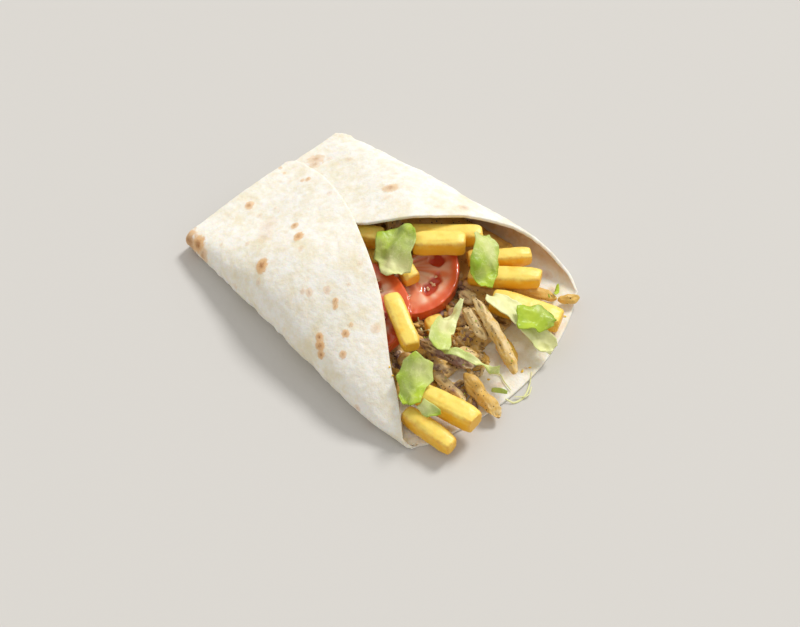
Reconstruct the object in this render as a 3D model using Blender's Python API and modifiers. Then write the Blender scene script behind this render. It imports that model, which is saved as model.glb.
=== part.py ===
"""A flour tortilla rolled round chicken strips, fries, tomato and lettuce, open at one end.

The wrap lies on its floor at z = 0 with its length along X: the closed end is at -X and the open
mouth, with the tongue of tortilla that the filling spills on to, is at +X. The sheet is a flat
round folded by one rule, section(), and every loose piece is laid by name and let down on to what
is already there. Lengths are written in millimetres and become metres where a mesh is made.
"""

import math
import random

import bmesh
import bpy
import numpy as np
from mathutils import Matrix, Vector
from mathutils.bvhtree import BVHTree

MM = 0.001
UP = Vector((0, 0, 1))
HIGH = 1000.0  # higher than anything here
COLLECTION = "Chicken and fries wrap"
GAP = 0.4  # clearance left between pieces that touch
CORE_GAP = 0.8  # and between the core and the pieces on it

# ---- the tortilla -------------------------------------------------------------------------------
SHEET = 1.8  # thickness of one layer
CLOSED_X = -95.0  # the fold that closes the roll
TONGUE_CENTRE = (-37.0, -4.0)  # the front edge is an arc about this point of the flat sheet
TONGUE_RADIUS = 126.0
TONGUE_ANGLES = (-23.6, 33.0)  # degrees, from its left corner to its right one
TAIL = 90.0  # length of the end folded forward inside the roll
TAIL_HALF_WIDTH = 133.0
FLOOR_ROUND = 12.0  # how far in from a fold the sheet leaves the floor
ROWS = 26
FLAP_COLUMNS, FOLD_COLUMNS, FLOOR_COLUMNS = 8, 5, 7

# The floor's edge, and the fold's outer edge at the closed end and in the middle.
COLUMN_STOPS = (46.0, 68.0, 92.0)
TAIL_EDGE = 4.0  # how far the step from two layers to one is spread
WAVES = ((0.5, 17, 11, 0), (0.4, 9, -19, 1))  # unevenness: height, lengths along x and y, phase
WAVES_FROM = (6.0, 20.0)  # the height over which the waves set in

# Each profile is a smooth curve through (x, value).
LEFT_FOLD = ((-95, 55), (-49, 59.5), (-9, 63), (46, 66), (76, 62), (91, 60))
RIGHT_FOLD = (
    (-95, 55), (-49, 57.5), (-9, 60), (21, 65), (43.5, 66.5), (61, 65.5), (76, 62), (91, 60),
)
HEIGHT = (
    (-95, 11.8), (-79, 15.5), (-49, 26), (-21, 35), (-4, 36), (19, 32),
    (37, 29.5), (48, 26), (57, 20), (67, 15), (75, 9), (91, 3),
)
SQUARENESS = ((-95, 18), (-66.5, 7), (-36.5, 3.8), (-9, 2.9), (48.5, 2.4), (91, 2.2))
# The height of the widest line, as a part of the whole.
WAIST = ((-95, 0.5), (-51.5, 0.4), (-1.5, 0.36), (91, 0.36))
# How far the right flap lies below the left one.
LAP = ((-95, 4.1), (-71.5, 4.0), (-46.5, 3.2), (-26.5, 2.4), (-16.5, 2.2), (-1.5, 1.0), (10.5, 0))
# The sheet's long edges, as distances along the section from the middle of the floor.
LEFT_RIM = ((-95, 137.5), (-66, 143), (-21, 140), (19, 121), (48, 97), (67, 73.5), (78.5, 54.4))
RIGHT_RIM = (
    (-95, 122), (-49, 134), (-21, 132), (-1, 114), (14, 96), (31, 83), (51, 75), (69, 64.6),
)

# ---- the filling --------------------------------------------------------------------------------
CORE_X = (-73.5, 60.5)
CORE_TOP = (
    (-73.5, 8.2), (-63.5, 10.9), (-49, 17.5), (-37.5, 21.8), (-25.5, 23.6), (-14, 20),
    (-1.5, 15.5), (28.5, 13), (46.5, 10), (60.5, 4.5),
)
CORE_NARROW = ((-73.5, 0.5), (-27, 0.8), (33.5, 0), (48.5, 12), (60.5, 26))  # how far its sides draw in
CORE_RINGS = 28
CORE_LEAST = 0.6  # its least thickness
# The places of its points along each half of a ring, as parts of its length.
CORE_PLACES = (0.15, 0.4, 0.5, 0.55, 0.6, 0.64, 0.68, 0.72, 0.76, 0.8, 0.84, 0.88, 0.92, 0.96, 0.99)
CORE_SIDE = 0.4  # beyond this place along half a ring, the core may draw down under a piece
CORE_REACH = 4.6  # how far round a point of it the pieces above are felt for

# Each loose piece: its centre x, y, z, its heading in degrees, how far its front end is pitched down,
# and its length, width and depth. A strip also has its bend, as a part of its length.
FRIES = {
    "fry_01": (7, 29.8, 21.4, 44, 1, 42, 10, 10),
    "fry_02": (13.4, 21.6, 24.6, 46, 2, 27, 10.5, 10.5),
    "fry_03": (-20, 2.5, 22.6, 33, 0, 21, 10, 9.5),
    "fry_04": (42.8, -9.3, 13, -20, 4, 15, 9.5, 9),
    "fry_05": (34.1, 43, 15, 49.5, 2, 33, 8.5, 9),
    "fry_06": (44.1, 36.4, 14.4, 41, 1, 37, 10, 9),
    "fry_07": (63.3, 31, 9.6, 26, 5, 37, 12, 11),
    "fry_08": (77, -38.1, 8.4, 13, 1, 33, 11.2, 11.5),
    "fry_09": (76.8, -50.0, 7.0, 4, 0, 30.6, 8.9, 9),
    "fry_10": (-17.8, 3.9, 12.9, -22, 0, 25, 9.5, 9),
    "fry_11": (11.5, 1.5, 21.2, -20, 4, 13, 9, 8.5),
    "fry_12": (34.5, -25, 27, -25, 7, 31.6, 9.4, 9.4),
    "fry_13": (71.5, 8.5, 5.5, -23, 0, 14, 7.5, 6),
}
STRIPS = {
    "strip_01": (56.5, -18.5, 13.3, 16, 5, 30, 9, 8, 0.03),
    "strip_02": (68.8, -27.3, 7.8, -4, 4, 24, 8.5, 9, 0.02),
    "strip_03": (80.7, -17.9, 6.2, -11, 2, 29.4, 9, 7.5, -0.04),
    "strip_04": (42.5, 4.5, 11, -8, 0, 11, 8.5, 8, 0),
    "strip_05": (37.5, 16, 11, 2, 0, 9, 8, 8, 0.05),
    "strip_06": (60.5, -8, 8.5, 27, 5, 12, 10, 10, 0),
    "strip_07": (53.7, 5.2, 12.2, -16, 7, 21, 7, 7, -0.03),
    "strip_08": (66.9, 4.7, 10.8, -19.5, 10, 49, 6.5, 7, 0.03),
    "strip_09": (55.4, 43, 6.2, 29, 2, 27, 7, 7, 0.02),
    "strip_10": (71.5, 53, 5.8, 53, 3, 11, 6, 6, 0),
    "strip_11": (41, -20.7, 12, -17, 0, 13, 8, 8, 0),
    "strip_12": (48, -42.5, 8.5, -39, 0, 17, 9, 9, 0),
    "strip_13": (45.5, -31.5, 13, 26, 0, 11, 9, 8, 0),
}
# Half slices: centre of the cut, the heading of the round side, the lean and which way it leans,
# radius and thickness.
TOMATOES = {
    "tomato_01": (2.8, 4.7, 12.2, 10, 2, -42, 30, 6.5),
    "tomato_02": (6.2, -34, 17.2, 38, 5, -110, 30.5, 6.5),
}
# Centre x, y, heading, length, width, wave height, waves along and across, how far its front narrows.
LEAVES = {
    "leaf_01": (2.5, 2, -30, 28, 22, 1.2, 1.6, 1.3, 0.25),
    "leaf_02": (35.5, 31, -41, 27, 13, 0.9, 1.0, 0.6, 0.0),
    "leaf_03": (74.5, 26, 45, 19, 17, 1.0, 0.8, 0.9, 0.35),
    "leaf_04": (69.3, 21.5, 16, 38, 13, 0.7, 0.8, 0.5, 0.1),
    "leaf_05": (50, -8.5, 116, 34, 13, 1.0, 1.0, 0.6, 0.75),
    "leaf_06": (61.5, -43, -60, 22.5, 17, 1.0, 0.8, 1.0, 0.3),
    "leaf_07": (69.5, -14, 35, 28, 4.5, 1.0, 2.2, 0.3, 0.4),
    "leaf_08": (74.5, -47, 7, 11, 7, 0.5, 0.8, 0.6, 0.3),
}
LEAF = 0.8  # thickness of the lettuce
LEAF_SLOPE = 0.75  # the steepest that a leaf hangs off what it lies on
LEAF_STEP = 2.0  # between the heights felt for under a leaf
LEAF_REACH = 6  # how many such steps off a support the leaf is held up
LEAF_CELL = (3.6, 3.2)  # the size of its quads along and across
LEAF_RAGGED = ((0.10, 5), (0.07, 9))  # how far its sides are ragged, and how often
LEAF_TIPS = 0.35  # how far both its ends narrow
LEAF_ROUND = 0.08  # how far the corners of its ends are drawn in
LEAF_TORN = 0.8  # how far its ends are ragged
LEAF_SWAY = 0.06  # how far it curves to a side, as a part of its length

FRY_CORNER = 0.55  # where the flats of a stick's eight sides end, as a part of its half width
FRY_BEND, FRY_SLANT = 0.035, 0.25  # the most that a stick bends, and that its ends slant
FRY_UNEVEN = 0.04  # the most that its width and depth vary
FRY_RINGS = ((-0.5, 0.8), (-0.46, 0.97), (-0.17, 1), (0.17, 1), (0.46, 0.97), (0.5, 0.8))  # place, size
STRIP_RINGS, STRIP_SIDES = 7, 7
STRIP_END = 0.3  # the size of a strip's end, as a part of its middle
STRIP_BLUNT = 3.5  # the higher, the nearer its ends it narrows
STRIP_LUMPS = (0.8, 1.05)  # how far in and out its points lie
STRIP_TWIST = 0.4  # the most that a ring is turned, in radians
STRIP_SHIFT = 0.02  # the most that a point is shifted along it, as a part of its length
SLICE_STEPS = 20
SLICE_LOBES = 0.02  # how far from round a slice is
SKIN_ROUND = 1.2  # how far a slice's faces are drawn in from its skin

# What was laid down first, to last.
LAID = (
    "tomato_01", "tomato_02", "strip_12", "strip_03", "strip_02", "strip_06", "strip_04", "strip_05",
    "strip_11", "strip_13", "strip_01", "strip_10", "strip_09", "fry_09", "fry_08", "fry_13", "fry_07",
    "strip_07", "strip_08", "fry_04", "fry_01", "fry_06", "fry_05", "fry_10", "fry_03", "fry_02", "fry_11",
    "fry_12",
    "leaf_08", "leaf_07", "leaf_01", "leaf_02", "leaf_04", "leaf_03", "leaf_05", "leaf_06",
)

COLOURS = {
    "tortilla": ((0.80, 0.75, 0.64), 0.8),
    "filling": ((0.35, 0.22, 0.10), 0.6),
    "fry": ((0.80, 0.55, 0.12), 0.55),
    "chicken": ((0.42, 0.26, 0.12), 0.55),
    "tomato": ((0.62, 0.08, 0.03), 0.3),
    "lettuce": ((0.35, 0.52, 0.10), 0.5),
}


def smooth(start, end, value):
    t = min(max((value - start) / (end - start), 0.0), 1.0)
    return t * t * (3 - 2 * t)


def profile(keys, x):
    """A smooth curve through (x, value) pairs, level beyond its ends."""
    xs = [key[0] for key in keys]
    ys = [key[1] for key in keys]
    if x <= xs[0]:
        return ys[0]
    if x >= xs[-1]:
        return ys[-1]
    i = max(k for k in range(len(xs) - 1) if xs[k] <= x)

    def slope(k):
        low, high = max(k - 1, 0), min(k + 1, len(xs) - 1)
        return (ys[high] - ys[low]) / (xs[high] - xs[low])

    span = xs[i + 1] - xs[i]
    t = (x - xs[i]) / span
    return (
        (1 + 2 * t) * (1 - t) ** 2 * ys[i]
        + t * (1 - t) ** 2 * span * slope(i)
        + t * t * (3 - 2 * t) * ys[i + 1]
        + t * t * (t - 1) * span * slope(i + 1)
    )


def outline(near, far, height, waist, rounding, square):
    """Half a section: out along the floor to the near fold, round it, and over the top to the far one.

    Returns arrays of distance along it, of the side distance (near side positive) and of height."""
    floor = np.linspace(0, near - rounding, 12)[:-1]
    turn = np.linspace(0, math.pi / 2, 16)[:-1]
    rise = np.linspace(0, math.pi / 2, 60)
    over = rise[::-1][1:]
    side = np.concatenate([
        floor,
        near - rounding + rounding * np.sin(turn),
        near * np.cos(rise).clip(0) ** (2 / square),
        -far * np.cos(over).clip(0) ** (2 / square),
    ])
    up = np.concatenate([
        np.zeros(len(floor)),
        waist - waist * np.cos(turn),
        waist + (height - waist) * np.sin(rise),
        waist + (height - waist) * np.sin(over),
    ])
    along = np.concatenate([[0], np.cumsum(np.hypot(np.diff(side), np.diff(up)))])
    return along, side, up


def section(x, left):
    """The outer line of the rolled sheet at station x, for the left flap or for the right one under it."""
    height = profile(HEIGHT, x)
    waist = height * profile(WAIST, x)
    folds = profile(LEFT_FOLD, x), profile(RIGHT_FOLD, x)
    near, far = folds if left else folds[::-1]
    if not left:
        height -= profile(LAP, x)
    return outline(near, far, height, waist, min(waist, FLOOR_ROUND), profile(SQUARENESS, x))


def on_sheet(x, q):
    """Where the point (x, q) of the flat sheet goes when it is rolled. q < 0 is the left side."""
    left = q < 0
    along, side, up = section(x, left)
    y = np.interp(abs(q), along, side)
    z = np.interp(abs(q), along, up)
    wave = sum(height * math.sin(x / long + y / wide + phase) for height, long, wide, phase in WAVES)
    z += wave * smooth(*WAVES_FROM, z)
    return Vector((x, -y if left else y, z))


def flat_point(u, v):
    """(x, q) on the flat sheet: u from the closed end to the tongue, v from the left edge to the right."""

    def left(u):
        x = CLOSED_X + u * (LEFT_RIM[-1][0] - CLOSED_X)
        return np.array((x, -profile(LEFT_RIM, x)))

    def right(u):
        x = CLOSED_X + u * (RIGHT_RIM[-1][0] - CLOSED_X)
        return np.array((x, profile(RIGHT_RIM, x)))

    angle = math.radians(TONGUE_ANGLES[0] + v * (TONGUE_ANGLES[1] - TONGUE_ANGLES[0]))
    front = np.array(TONGUE_CENTRE) + TONGUE_RADIUS * np.array((math.cos(angle), math.sin(angle)))
    back = left(0) * (1 - v) + right(0) * v
    corners = (1 - u) * back + u * ((1 - v) * left(1) + v * right(1))
    return (1 - u) * back + u * front + (1 - v) * left(u) + v * right(u) - corners


def new_object(name, mesh, material):
    obj = bpy.data.objects.new(name, mesh)
    obj.data.materials.append(material)
    bpy.data.collections[COLLECTION].objects.link(obj)
    return obj


def object_from(name, bm, material, place):
    """A linked object from a bmesh in millimetres, its faces turned outwards, put in its place."""
    bm.transform(Matrix.Scale(MM, 4))
    bmesh.ops.recalc_face_normals(bm, faces=bm.faces)
    bmesh.ops.triangulate(bm, faces=bm.faces)
    mesh = bpy.data.meshes.new(name)
    bm.to_mesh(mesh)
    bm.free()
    mesh.shade_smooth()
    obj = new_object(name, mesh, material)
    obj.matrix_world = Matrix.Translation(place.translation * MM) @ place.to_3x3().to_4x4()
    return obj


def grid_faces(bm, rows):
    """Quads between neighbouring rows of vertices."""
    for near, far in zip(rows, rows[1:]):
        for k in range(len(near) - 1):
            bm.faces.new((near[k], near[k + 1], far[k + 1], far[k]))


def loft(rings):
    """A closed body through rings of points, each end closed flat."""
    bm = bmesh.new()
    rows = [[bm.verts.new(point) for point in ring] for ring in rings]
    grid_faces(bm, [row + row[:1] for row in rows])
    bm.faces.new(rows[0])
    bm.faces.new(rows[-1])
    return bm


# ---- the tortilla -------------------------------------------------------------------------------


def layers(x, q):
    """How many layers lie at a point of the sheet: two where the tail is folded forward over it."""
    radius = (TAIL_HALF_WIDTH**2 + TAIL**2) / (2 * TAIL)
    reach = math.hypot(x - (CLOSED_X + TAIL - radius), q - TONGUE_CENTRE[1])
    return 2 - smooth(radius - TAIL_EDGE, radius + TAIL_EDGE, reach)


def column_places(u):
    """Where the sheet's columns run at u, from 0 to 1: close together in the folds, even at the tongue."""
    left, right = flat_point(u, 0)[1], flat_point(u, 1)[1]
    floor_end, first, middle = COLUMN_STOPS
    fold_end = first + (middle - first) * smooth(0.0, 0.45, u)
    stops = (left, -fold_end, -floor_end, floor_end, fold_end, right)
    counts = (FLAP_COLUMNS, FOLD_COLUMNS, FLOOR_COLUMNS, FOLD_COLUMNS, FLAP_COLUMNS)
    places = [stops[0]]
    for start, end, count in zip(stops, stops[1:], counts):
        places += [start + (end - start) * (k + 1) / count for k in range(count)]
    even = smooth(0.5, 0.95, u)
    last = len(places) - 1
    return [
        (1 - even) * (place - left) / (right - left) + even * k / last
        for k, place in enumerate(places)
    ]


def make_tortilla(material):
    """The rolled sheet: its outer face as one grid, thickened inwards where it is one or two layers."""
    bm = bmesh.new()
    rows, weights = [], []
    for i in range(ROWS + 1):
        u = i / ROWS
        flat = [flat_point(u, v) for v in column_places(u)]
        rows.append([bm.verts.new(on_sheet(x, q) * MM) for x, q in flat])
        weights += [layers(x, q) / 2 for x, q in flat]
    grid_faces(bm, rows)
    bmesh.ops.triangulate(bm, faces=bm.faces)
    mesh = bpy.data.meshes.new("tortilla")
    bm.to_mesh(mesh)
    bm.free()
    mesh.shade_smooth()
    obj = new_object("tortilla", mesh, material)
    group = obj.vertex_groups.new(name="layers")
    for index, weight in enumerate(weights):
        group.add([index], weight, "REPLACE")
    solidify = obj.modifiers.new("Thickness", "SOLIDIFY")
    solidify.thickness = 2 * SHEET * MM
    solidify.offset = -1
    solidify.vertex_group = group.name
    return obj


# ---- the filling --------------------------------------------------------------------------------


def make_core(heap, material):
    """The packed filling: up to the underside of the pieces laid on it, and to its own level between."""
    rings = []
    for k in range(CORE_RINGS + 1):
        x = CORE_X[0] + (CORE_X[1] - CORE_X[0]) * k / CORE_RINGS
        floor = SHEET * layers(x, 0) + GAP
        narrow = profile(CORE_NARROW, x)
        level = profile(CORE_TOP, x) - floor
        outer_waist = profile(HEIGHT, x) * profile(WAIST, x)
        waist = min(outer_waist - floor, 0.5 * level)
        # The core is widest lower down than the sheet is, so it is as much narrower as the sheet is there.
        turn = min(max(1 - (floor + waist - 2 * SHEET) / outer_waist, 0), 1)
        narrow += min(outer_waist, FLOOR_ROUND) * (1 - math.sqrt(1 - turn * turn))
        ring = []
        for folds, side in ((RIGHT_FOLD, 1), (LEFT_FOLD, -1)):
            reach = profile(folds, x) - 2 * SHEET - 2 * GAP - narrow
            rounding = min(waist, FLOOR_ROUND)
            lengths, across, up = outline(reach, reach, level, waist, rounding, profile(SQUARENESS, x))
            half = lengths[np.argmax(up)]
            points = []
            for place in CORE_PLACES:
                y, z = (float(np.interp(half * place, lengths, line)) for line in (across, up))
                z += floor
                if place > CORE_SIDE:
                    room = heap.underside(x, side * y, CORE_REACH) - CORE_GAP
                    z = max(min(z, room), floor + CORE_LEAST)
                points.append((x, side * y, z))
            ring += points if side > 0 else points[::-1]
        rings.append(ring)
    return object_from("filling", loft(rings), material, Matrix())


def make_fry(index, length, width, depth):
    """A cut potato stick along X: eight-sided, slightly bent and uneven, its ends cut at a slant."""
    rng = random.Random(100 + index)
    bend, slant = rng.uniform(-FRY_BEND, FRY_BEND), rng.uniform(-FRY_SLANT, FRY_SLANT)
    quarter = [(1, FRY_CORNER), (FRY_CORNER, 1)]
    half = quarter + [(-y, z) for y, z in reversed(quarter)]
    shape = half + [(-y, -z) for y, z in half]
    rings = []
    for place, size in FRY_RINGS:
        wide = size * width / 2 * (1 + rng.uniform(-FRY_UNEVEN, FRY_UNEVEN))
        deep = size * depth / 2 * (1 + rng.uniform(-FRY_UNEVEN, FRY_UNEVEN))
        bow = bend * length * (4 * place * place - 0.5)
        lean = slant * wide * abs(place) * 2
        rings.append([(place * length + lean * y, y * wide + bow, z * deep) for y, z in shape])
    return loft(rings)


def make_strip(index, length, width, depth, bend):
    """A torn strip of chicken along X: a lumpy seven-sided body with blunt ends."""
    rng = random.Random(200 + index)
    rings = []
    for k in range(STRIP_RINGS):
        place = k / (STRIP_RINGS - 1) - 0.5
        size = STRIP_END + (1 - STRIP_END) * (1 - abs(2 * place) ** STRIP_BLUNT) ** 0.5
        shift = STRIP_SHIFT * length if 0 < k < STRIP_RINGS - 1 else 0
        turn = rng.uniform(0, STRIP_TWIST)
        ring = []
        for j in range(STRIP_SIDES):
            angle = 2 * math.pi * j / STRIP_SIDES + turn
            lump = size * rng.uniform(*STRIP_LUMPS)
            ring.append((
                place * length + rng.uniform(-shift, shift),
                math.cos(angle) * width / 2 * lump + bend * length * (1 - 4 * place * place),
                math.sin(angle) * depth / 2 * lump,
            ))
        rings.append(ring)
    return loft(rings)


def make_slice(radius, thickness):
    """Half a tomato slice: the straight cut along Y, the round side towards X with its skin rounded."""
    rings = []
    for height, inset in ((-0.5, SKIN_ROUND), (-0.25, 0), (0.25, 0), (0.5, SKIN_ROUND)):
        ring = []
        for k in range(SLICE_STEPS + 1):
            angle = math.pi * (k / SLICE_STEPS - 0.5)
            size = (radius - inset) * (1 + SLICE_LOBES * math.cos(3 * angle + 1))
            ring.append((inset + size * math.cos(angle), size * math.sin(angle), height * thickness))
        rings.append(ring)
    return loft(rings)


class Heap:
    """What lies in the roll so far, as a height above any place on the floor."""

    def __init__(self):
        self.trees = []

    def add(self, obj):
        points = [obj.matrix_world @ vertex.co / MM for vertex in obj.data.vertices]
        faces = [tuple(face.vertices) for face in obj.data.polygons]
        self.trees.append(BVHTree.FromPolygons(points, faces))

    def floor(self, x, y):
        """The inner face of the tortilla's floor and of the lower half of its folds."""
        if math.hypot(x - TONGUE_CENTRE[0], y - TONGUE_CENTRE[1]) > TONGUE_RADIUS + GAP:
            return 0.0
        base = SHEET * layers(x, y)
        fold = profile(RIGHT_FOLD if y > 0 else LEFT_FOLD, x)
        waist = profile(HEIGHT, x) * profile(WAIST, x)
        rounding = min(waist, FLOOR_ROUND)
        past = (abs(y) - fold + rounding) / max(rounding - base, 0.5)
        if past <= 0:
            return base
        return base + max(waist - base, 0) * (1 - math.sqrt(max(1 - past * past, 0)))

    def underside(self, x, y, reach):
        """The lowest point of the pieces near a place, or a great height if there are none."""
        best = HIGH
        for px, py in samples_of(x, y, reach):
            for tree in self.trees:
                hit = tree.ray_cast(Vector((px, py, -HIGH)), UP)[0]
                if hit is not None:
                    best = min(best, hit.z)
        return best

    def height(self, x, y):
        best = self.floor(x, y)
        for tree in self.trees:
            hit = tree.ray_cast(Vector((x, y, HIGH)), -UP)[0]
            if hit is not None:
                best = max(best, hit.z)
        return best


def samples_of(x, y, reach):
    """A place, sixteen round it at a distance and eight at half of it."""
    places = [(x, y)]
    for count, distance in ((16, reach), (8, reach / 2)):
        for k in range(count):
            angle = 2 * math.pi * k / count
            places.append((x + distance * math.cos(angle), y + distance * math.sin(angle)))
    return places


def underside(bm, turn, step=1.5):
    """Sample points (x, y, lowest z) of a body after a turn, round its own centre."""
    points = [turn @ vertex.co for vertex in bm.verts]
    faces = [[vertex.index for vertex in face.verts] for face in bm.faces]
    tree = BVHTree.FromPolygons(points, faces)
    xs, ys = [p.x for p in points], [p.y for p in points]
    found = []
    for i in range(int((max(xs) - min(xs)) / step) + 2):
        for j in range(int((max(ys) - min(ys)) / step) + 2):
            x, y = min(xs) + i * step, min(ys) + j * step
            hit = tree.ray_cast(Vector((x, y, -HIGH)), UP)[0]
            if hit is not None:
                found.append(hit)
    return found + points


def lay(heap, name, bm, material, x, y, z, turn):
    """Puts a piece at its place, or as much higher as it takes to clear what is there by the gap."""
    bm.verts.index_update()
    clear = max(heap.height(x + p.x, y + p.y) + GAP - p.z for p in underside(bm, turn))
    obj = object_from(name, bm, material, Matrix.Translation((x, y, max(z, clear))) @ turn)
    heap.add(obj)
    return obj


def pointed(heading, pitch):
    """The turn that points a piece's X axis along a heading, its front end pitched down."""
    return Matrix.Rotation(math.radians(heading), 4, "Z") @ Matrix.Rotation(math.radians(pitch), 4, "Y")


def stiff_heights(heap, x, y, reach):
    """The heap's height over a square about (x, y), its steps eased to a slope a leaf can follow."""
    count = int(2 * reach / LEAF_STEP) + 1
    places = [k * LEAF_STEP - reach for k in range(count)]
    raw = np.array([[heap.height(x + px, y + py) for py in places] for px in places])
    padded = np.pad(raw, LEAF_REACH, constant_values=-HIGH)
    eased = raw
    for i in range(-LEAF_REACH, LEAF_REACH + 1):
        for j in range(-LEAF_REACH, LEAF_REACH + 1):
            # The first step off a support is free, so that the leaf clears it between two samples.
            fall = max(math.hypot(i, j) - 1.5, 0) * LEAF_STEP * LEAF_SLOPE
            from_x, from_y = LEAF_REACH + i, LEAF_REACH + j
            moved = padded[from_x : from_x + count, from_y : from_y + count]
            eased = np.maximum(eased, moved - fall)
    return eased


def wavy_sheet(low, high):
    """A closed body between two grids of vertices, both split alike, joined round their edges."""
    bm = bmesh.new()
    sheets = [[[bm.verts.new(point) for point in row] for row in sheet] for sheet in (low, high)]
    rims = []
    for sheet in sheets:
        for near, far in zip(sheet, sheet[1:]):
            for k in range(len(near) - 1):
                bm.faces.new((near[k], near[k + 1], far[k + 1]))
                bm.faces.new((near[k], far[k + 1], far[k]))
        inner = sheet[1:-1]
        last, first = [row[-1] for row in inner], [row[0] for row in inner[::-1]]
        rims.append(sheet[0] + last + sheet[-1][::-1] + first)
    grid_faces(bm, [rim + rim[:1] for rim in rims])
    return bm


def make_leaf(heap, name, index, material):
    """A torn piece of lettuce: a thin wavy body draped over the heap."""
    x, y, heading, length, width, wave, waves_along, waves_across, taper = LEAVES[name]
    rng = random.Random(300 + index)
    ragged, finer, ends, sway = (rng.uniform(0, 2 * math.pi) for _ in range(4))
    turn = Matrix.Rotation(math.radians(heading), 2)
    reach = 0.5 * math.hypot(length, width) + 3
    heights = stiff_heights(heap, x, y, reach)

    def below(place):
        column = min(max(int((place.x + reach) / LEAF_STEP), 0), len(heights) - 2)
        row = min(max(int((place.y + reach) / LEAF_STEP), 0), len(heights) - 2)
        return heights[column : column + 2, row : row + 2].max()

    steps_along, steps_across = (
        max(int(size / cell), 2) for size, cell in zip((length, width), LEAF_CELL)
    )
    low, high = [], []
    for s in np.linspace(-1, 1, steps_along + 1):
        row = []
        for t in np.linspace(-1, 1, steps_across + 1):
            wide = width / 2 * (1 - taper * (s + 1) / 2) * (1 - LEAF_TIPS * abs(s) ** 4)
            (deep, often), (shallow, oftener) = LEAF_RAGGED
            edge = 1 + deep * math.sin(often * s + ragged)
            edge += shallow * math.sin(oftener * s + finer + 2 * t)
            place = turn @ Vector((
                s * length / 2 * (1 - LEAF_ROUND * t * t) + LEAF_TORN * math.sin(4 * t + ends),
                t * wide * edge + LEAF_SWAY * length * math.sin(2 * s + sway),
            ))
            across_wave = math.cos(math.pi * waves_across * t + ends)
            ripple = wave * (1 + math.sin(math.pi * waves_along * s + finer) * across_wave)
            row.append((place.x, place.y, below(place) + GAP + ripple))
        low.append(row)
        high.append([(px, py, z + LEAF) for px, py, z in row])
    obj = object_from(name, wavy_sheet(low, high), material, Matrix.Translation((x, y, 0)))
    heap.add(obj)


def make_material(name, colour, roughness):
    material = bpy.data.materials.new(name)
    material.use_nodes = True
    shader = material.node_tree.nodes["Principled BSDF"]
    shader.inputs["Base Color"].default_value = (*colour, 1)
    shader.inputs["Roughness"].default_value = roughness
    return material


def main():
    materials = {name: make_material(name, *look) for name, look in COLOURS.items()}
    make_tortilla(materials["tortilla"])
    heap = Heap()
    for name in LAID:
        kind, index = name.split("_")[0], int(name[-2:])
        if kind == "strip":
            x, y, z, heading, pitch, length, width, depth, bend = STRIPS[name]
            strip = make_strip(index, length, width, depth, bend)
            lay(heap, name, strip, materials["chicken"], x, y, z, pointed(heading, pitch))
        elif kind == "fry":
            x, y, z, heading, pitch, length, width, depth = FRIES[name]
            fry = make_fry(index, length, width, depth)
            lay(heap, name, fry, materials["fry"], x, y, z, pointed(heading, pitch))
        elif kind == "tomato":
            x, y, z, heading, lean, towards, radius, thickness = TOMATOES[name]
            turn = pointed(towards, lean) @ pointed(heading - towards, 0)
            lay(heap, name, make_slice(radius, thickness), materials["tomato"], x, y, z, turn)
    make_core(heap, materials["filling"])
    for name in LAID:
        if name in LEAVES:
            make_leaf(heap, name, int(name[-2:]), materials["lettuce"])


for stale in list(bpy.data.objects):
    bpy.data.objects.remove(stale)
bpy.context.scene.collection.children.link(bpy.data.collections.new(COLLECTION))
main()
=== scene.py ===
"""The looks of a chicken and fries wrap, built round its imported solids.

Every loose piece keeps the place and the form of its solid: it is cut into fine cells, rounded and
given relief. The tortilla is folded again from the same rule as the solid, on a much finer grid.
Lengths are in millimetres and become metres where a mesh is made.
"""

import math
import random

import bmesh
import bpy
import numpy as np
from mathutils import Matrix, Vector, noise
from mathutils.bvhtree import BVHTree


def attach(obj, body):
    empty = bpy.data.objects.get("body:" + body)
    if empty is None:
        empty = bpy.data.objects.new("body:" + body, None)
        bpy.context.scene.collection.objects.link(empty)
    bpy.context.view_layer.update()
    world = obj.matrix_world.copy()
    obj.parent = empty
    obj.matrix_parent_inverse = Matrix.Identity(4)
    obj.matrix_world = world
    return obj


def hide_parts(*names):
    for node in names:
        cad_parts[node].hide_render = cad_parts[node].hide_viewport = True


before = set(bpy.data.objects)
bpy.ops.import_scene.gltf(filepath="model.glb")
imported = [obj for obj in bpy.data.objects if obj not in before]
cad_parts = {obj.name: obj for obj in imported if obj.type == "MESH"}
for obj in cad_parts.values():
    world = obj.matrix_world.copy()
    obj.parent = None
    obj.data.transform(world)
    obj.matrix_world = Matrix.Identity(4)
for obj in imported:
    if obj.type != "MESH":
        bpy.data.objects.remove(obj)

bl_info = {
    "name": "Chicken and fries wrap",
    "version": (1, 0, 0),
    "blender": (4, 5, 0),
    "location": "View3D > Sidebar > Wrap",
    "description": "Builds the tortilla, the filling and the loose pieces of a wrap round its solids",
    "category": "Add Mesh",
}

MM = 0.001
HIGH = 1000.0  # higher than anything here

# ---- the tortilla -------------------------------------------------------------------------------
CLOSED_X = -95.0  # the fold that closes the roll
TONGUE_CENTRE = (-37.0, -4.0)  # the front edge is an arc about this point of the flat sheet
TONGUE_RADIUS = 126.0
TONGUE_ANGLES = (-23.6, 33.0)  # degrees, from its left corner to its right one
TAIL = 90.0  # length of the end folded forward inside the roll
TAIL_HALF_WIDTH = 133.0
TAIL_EDGE = 4.0  # how far the step from two layers to one is spread
FLOOR_ROUND = 12.0  # how far in from a fold the sheet leaves the floor
WAVES = ((0.5, 17, 11, 0), (0.4, 9, -19, 1))  # unevenness: height, lengths along x and y, phase
WAVES_FROM = (6.0, 20.0)  # the height over which the waves set in
FOLD_TOP = 26.0  # the height up to which the folds are creased
SHEET_ROWS, SHEET_COLUMNS = 190, 250
SECTION_STEPS = (12, 16, 60)  # of half a section: along the floor, round the fold, and up to the top
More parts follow.
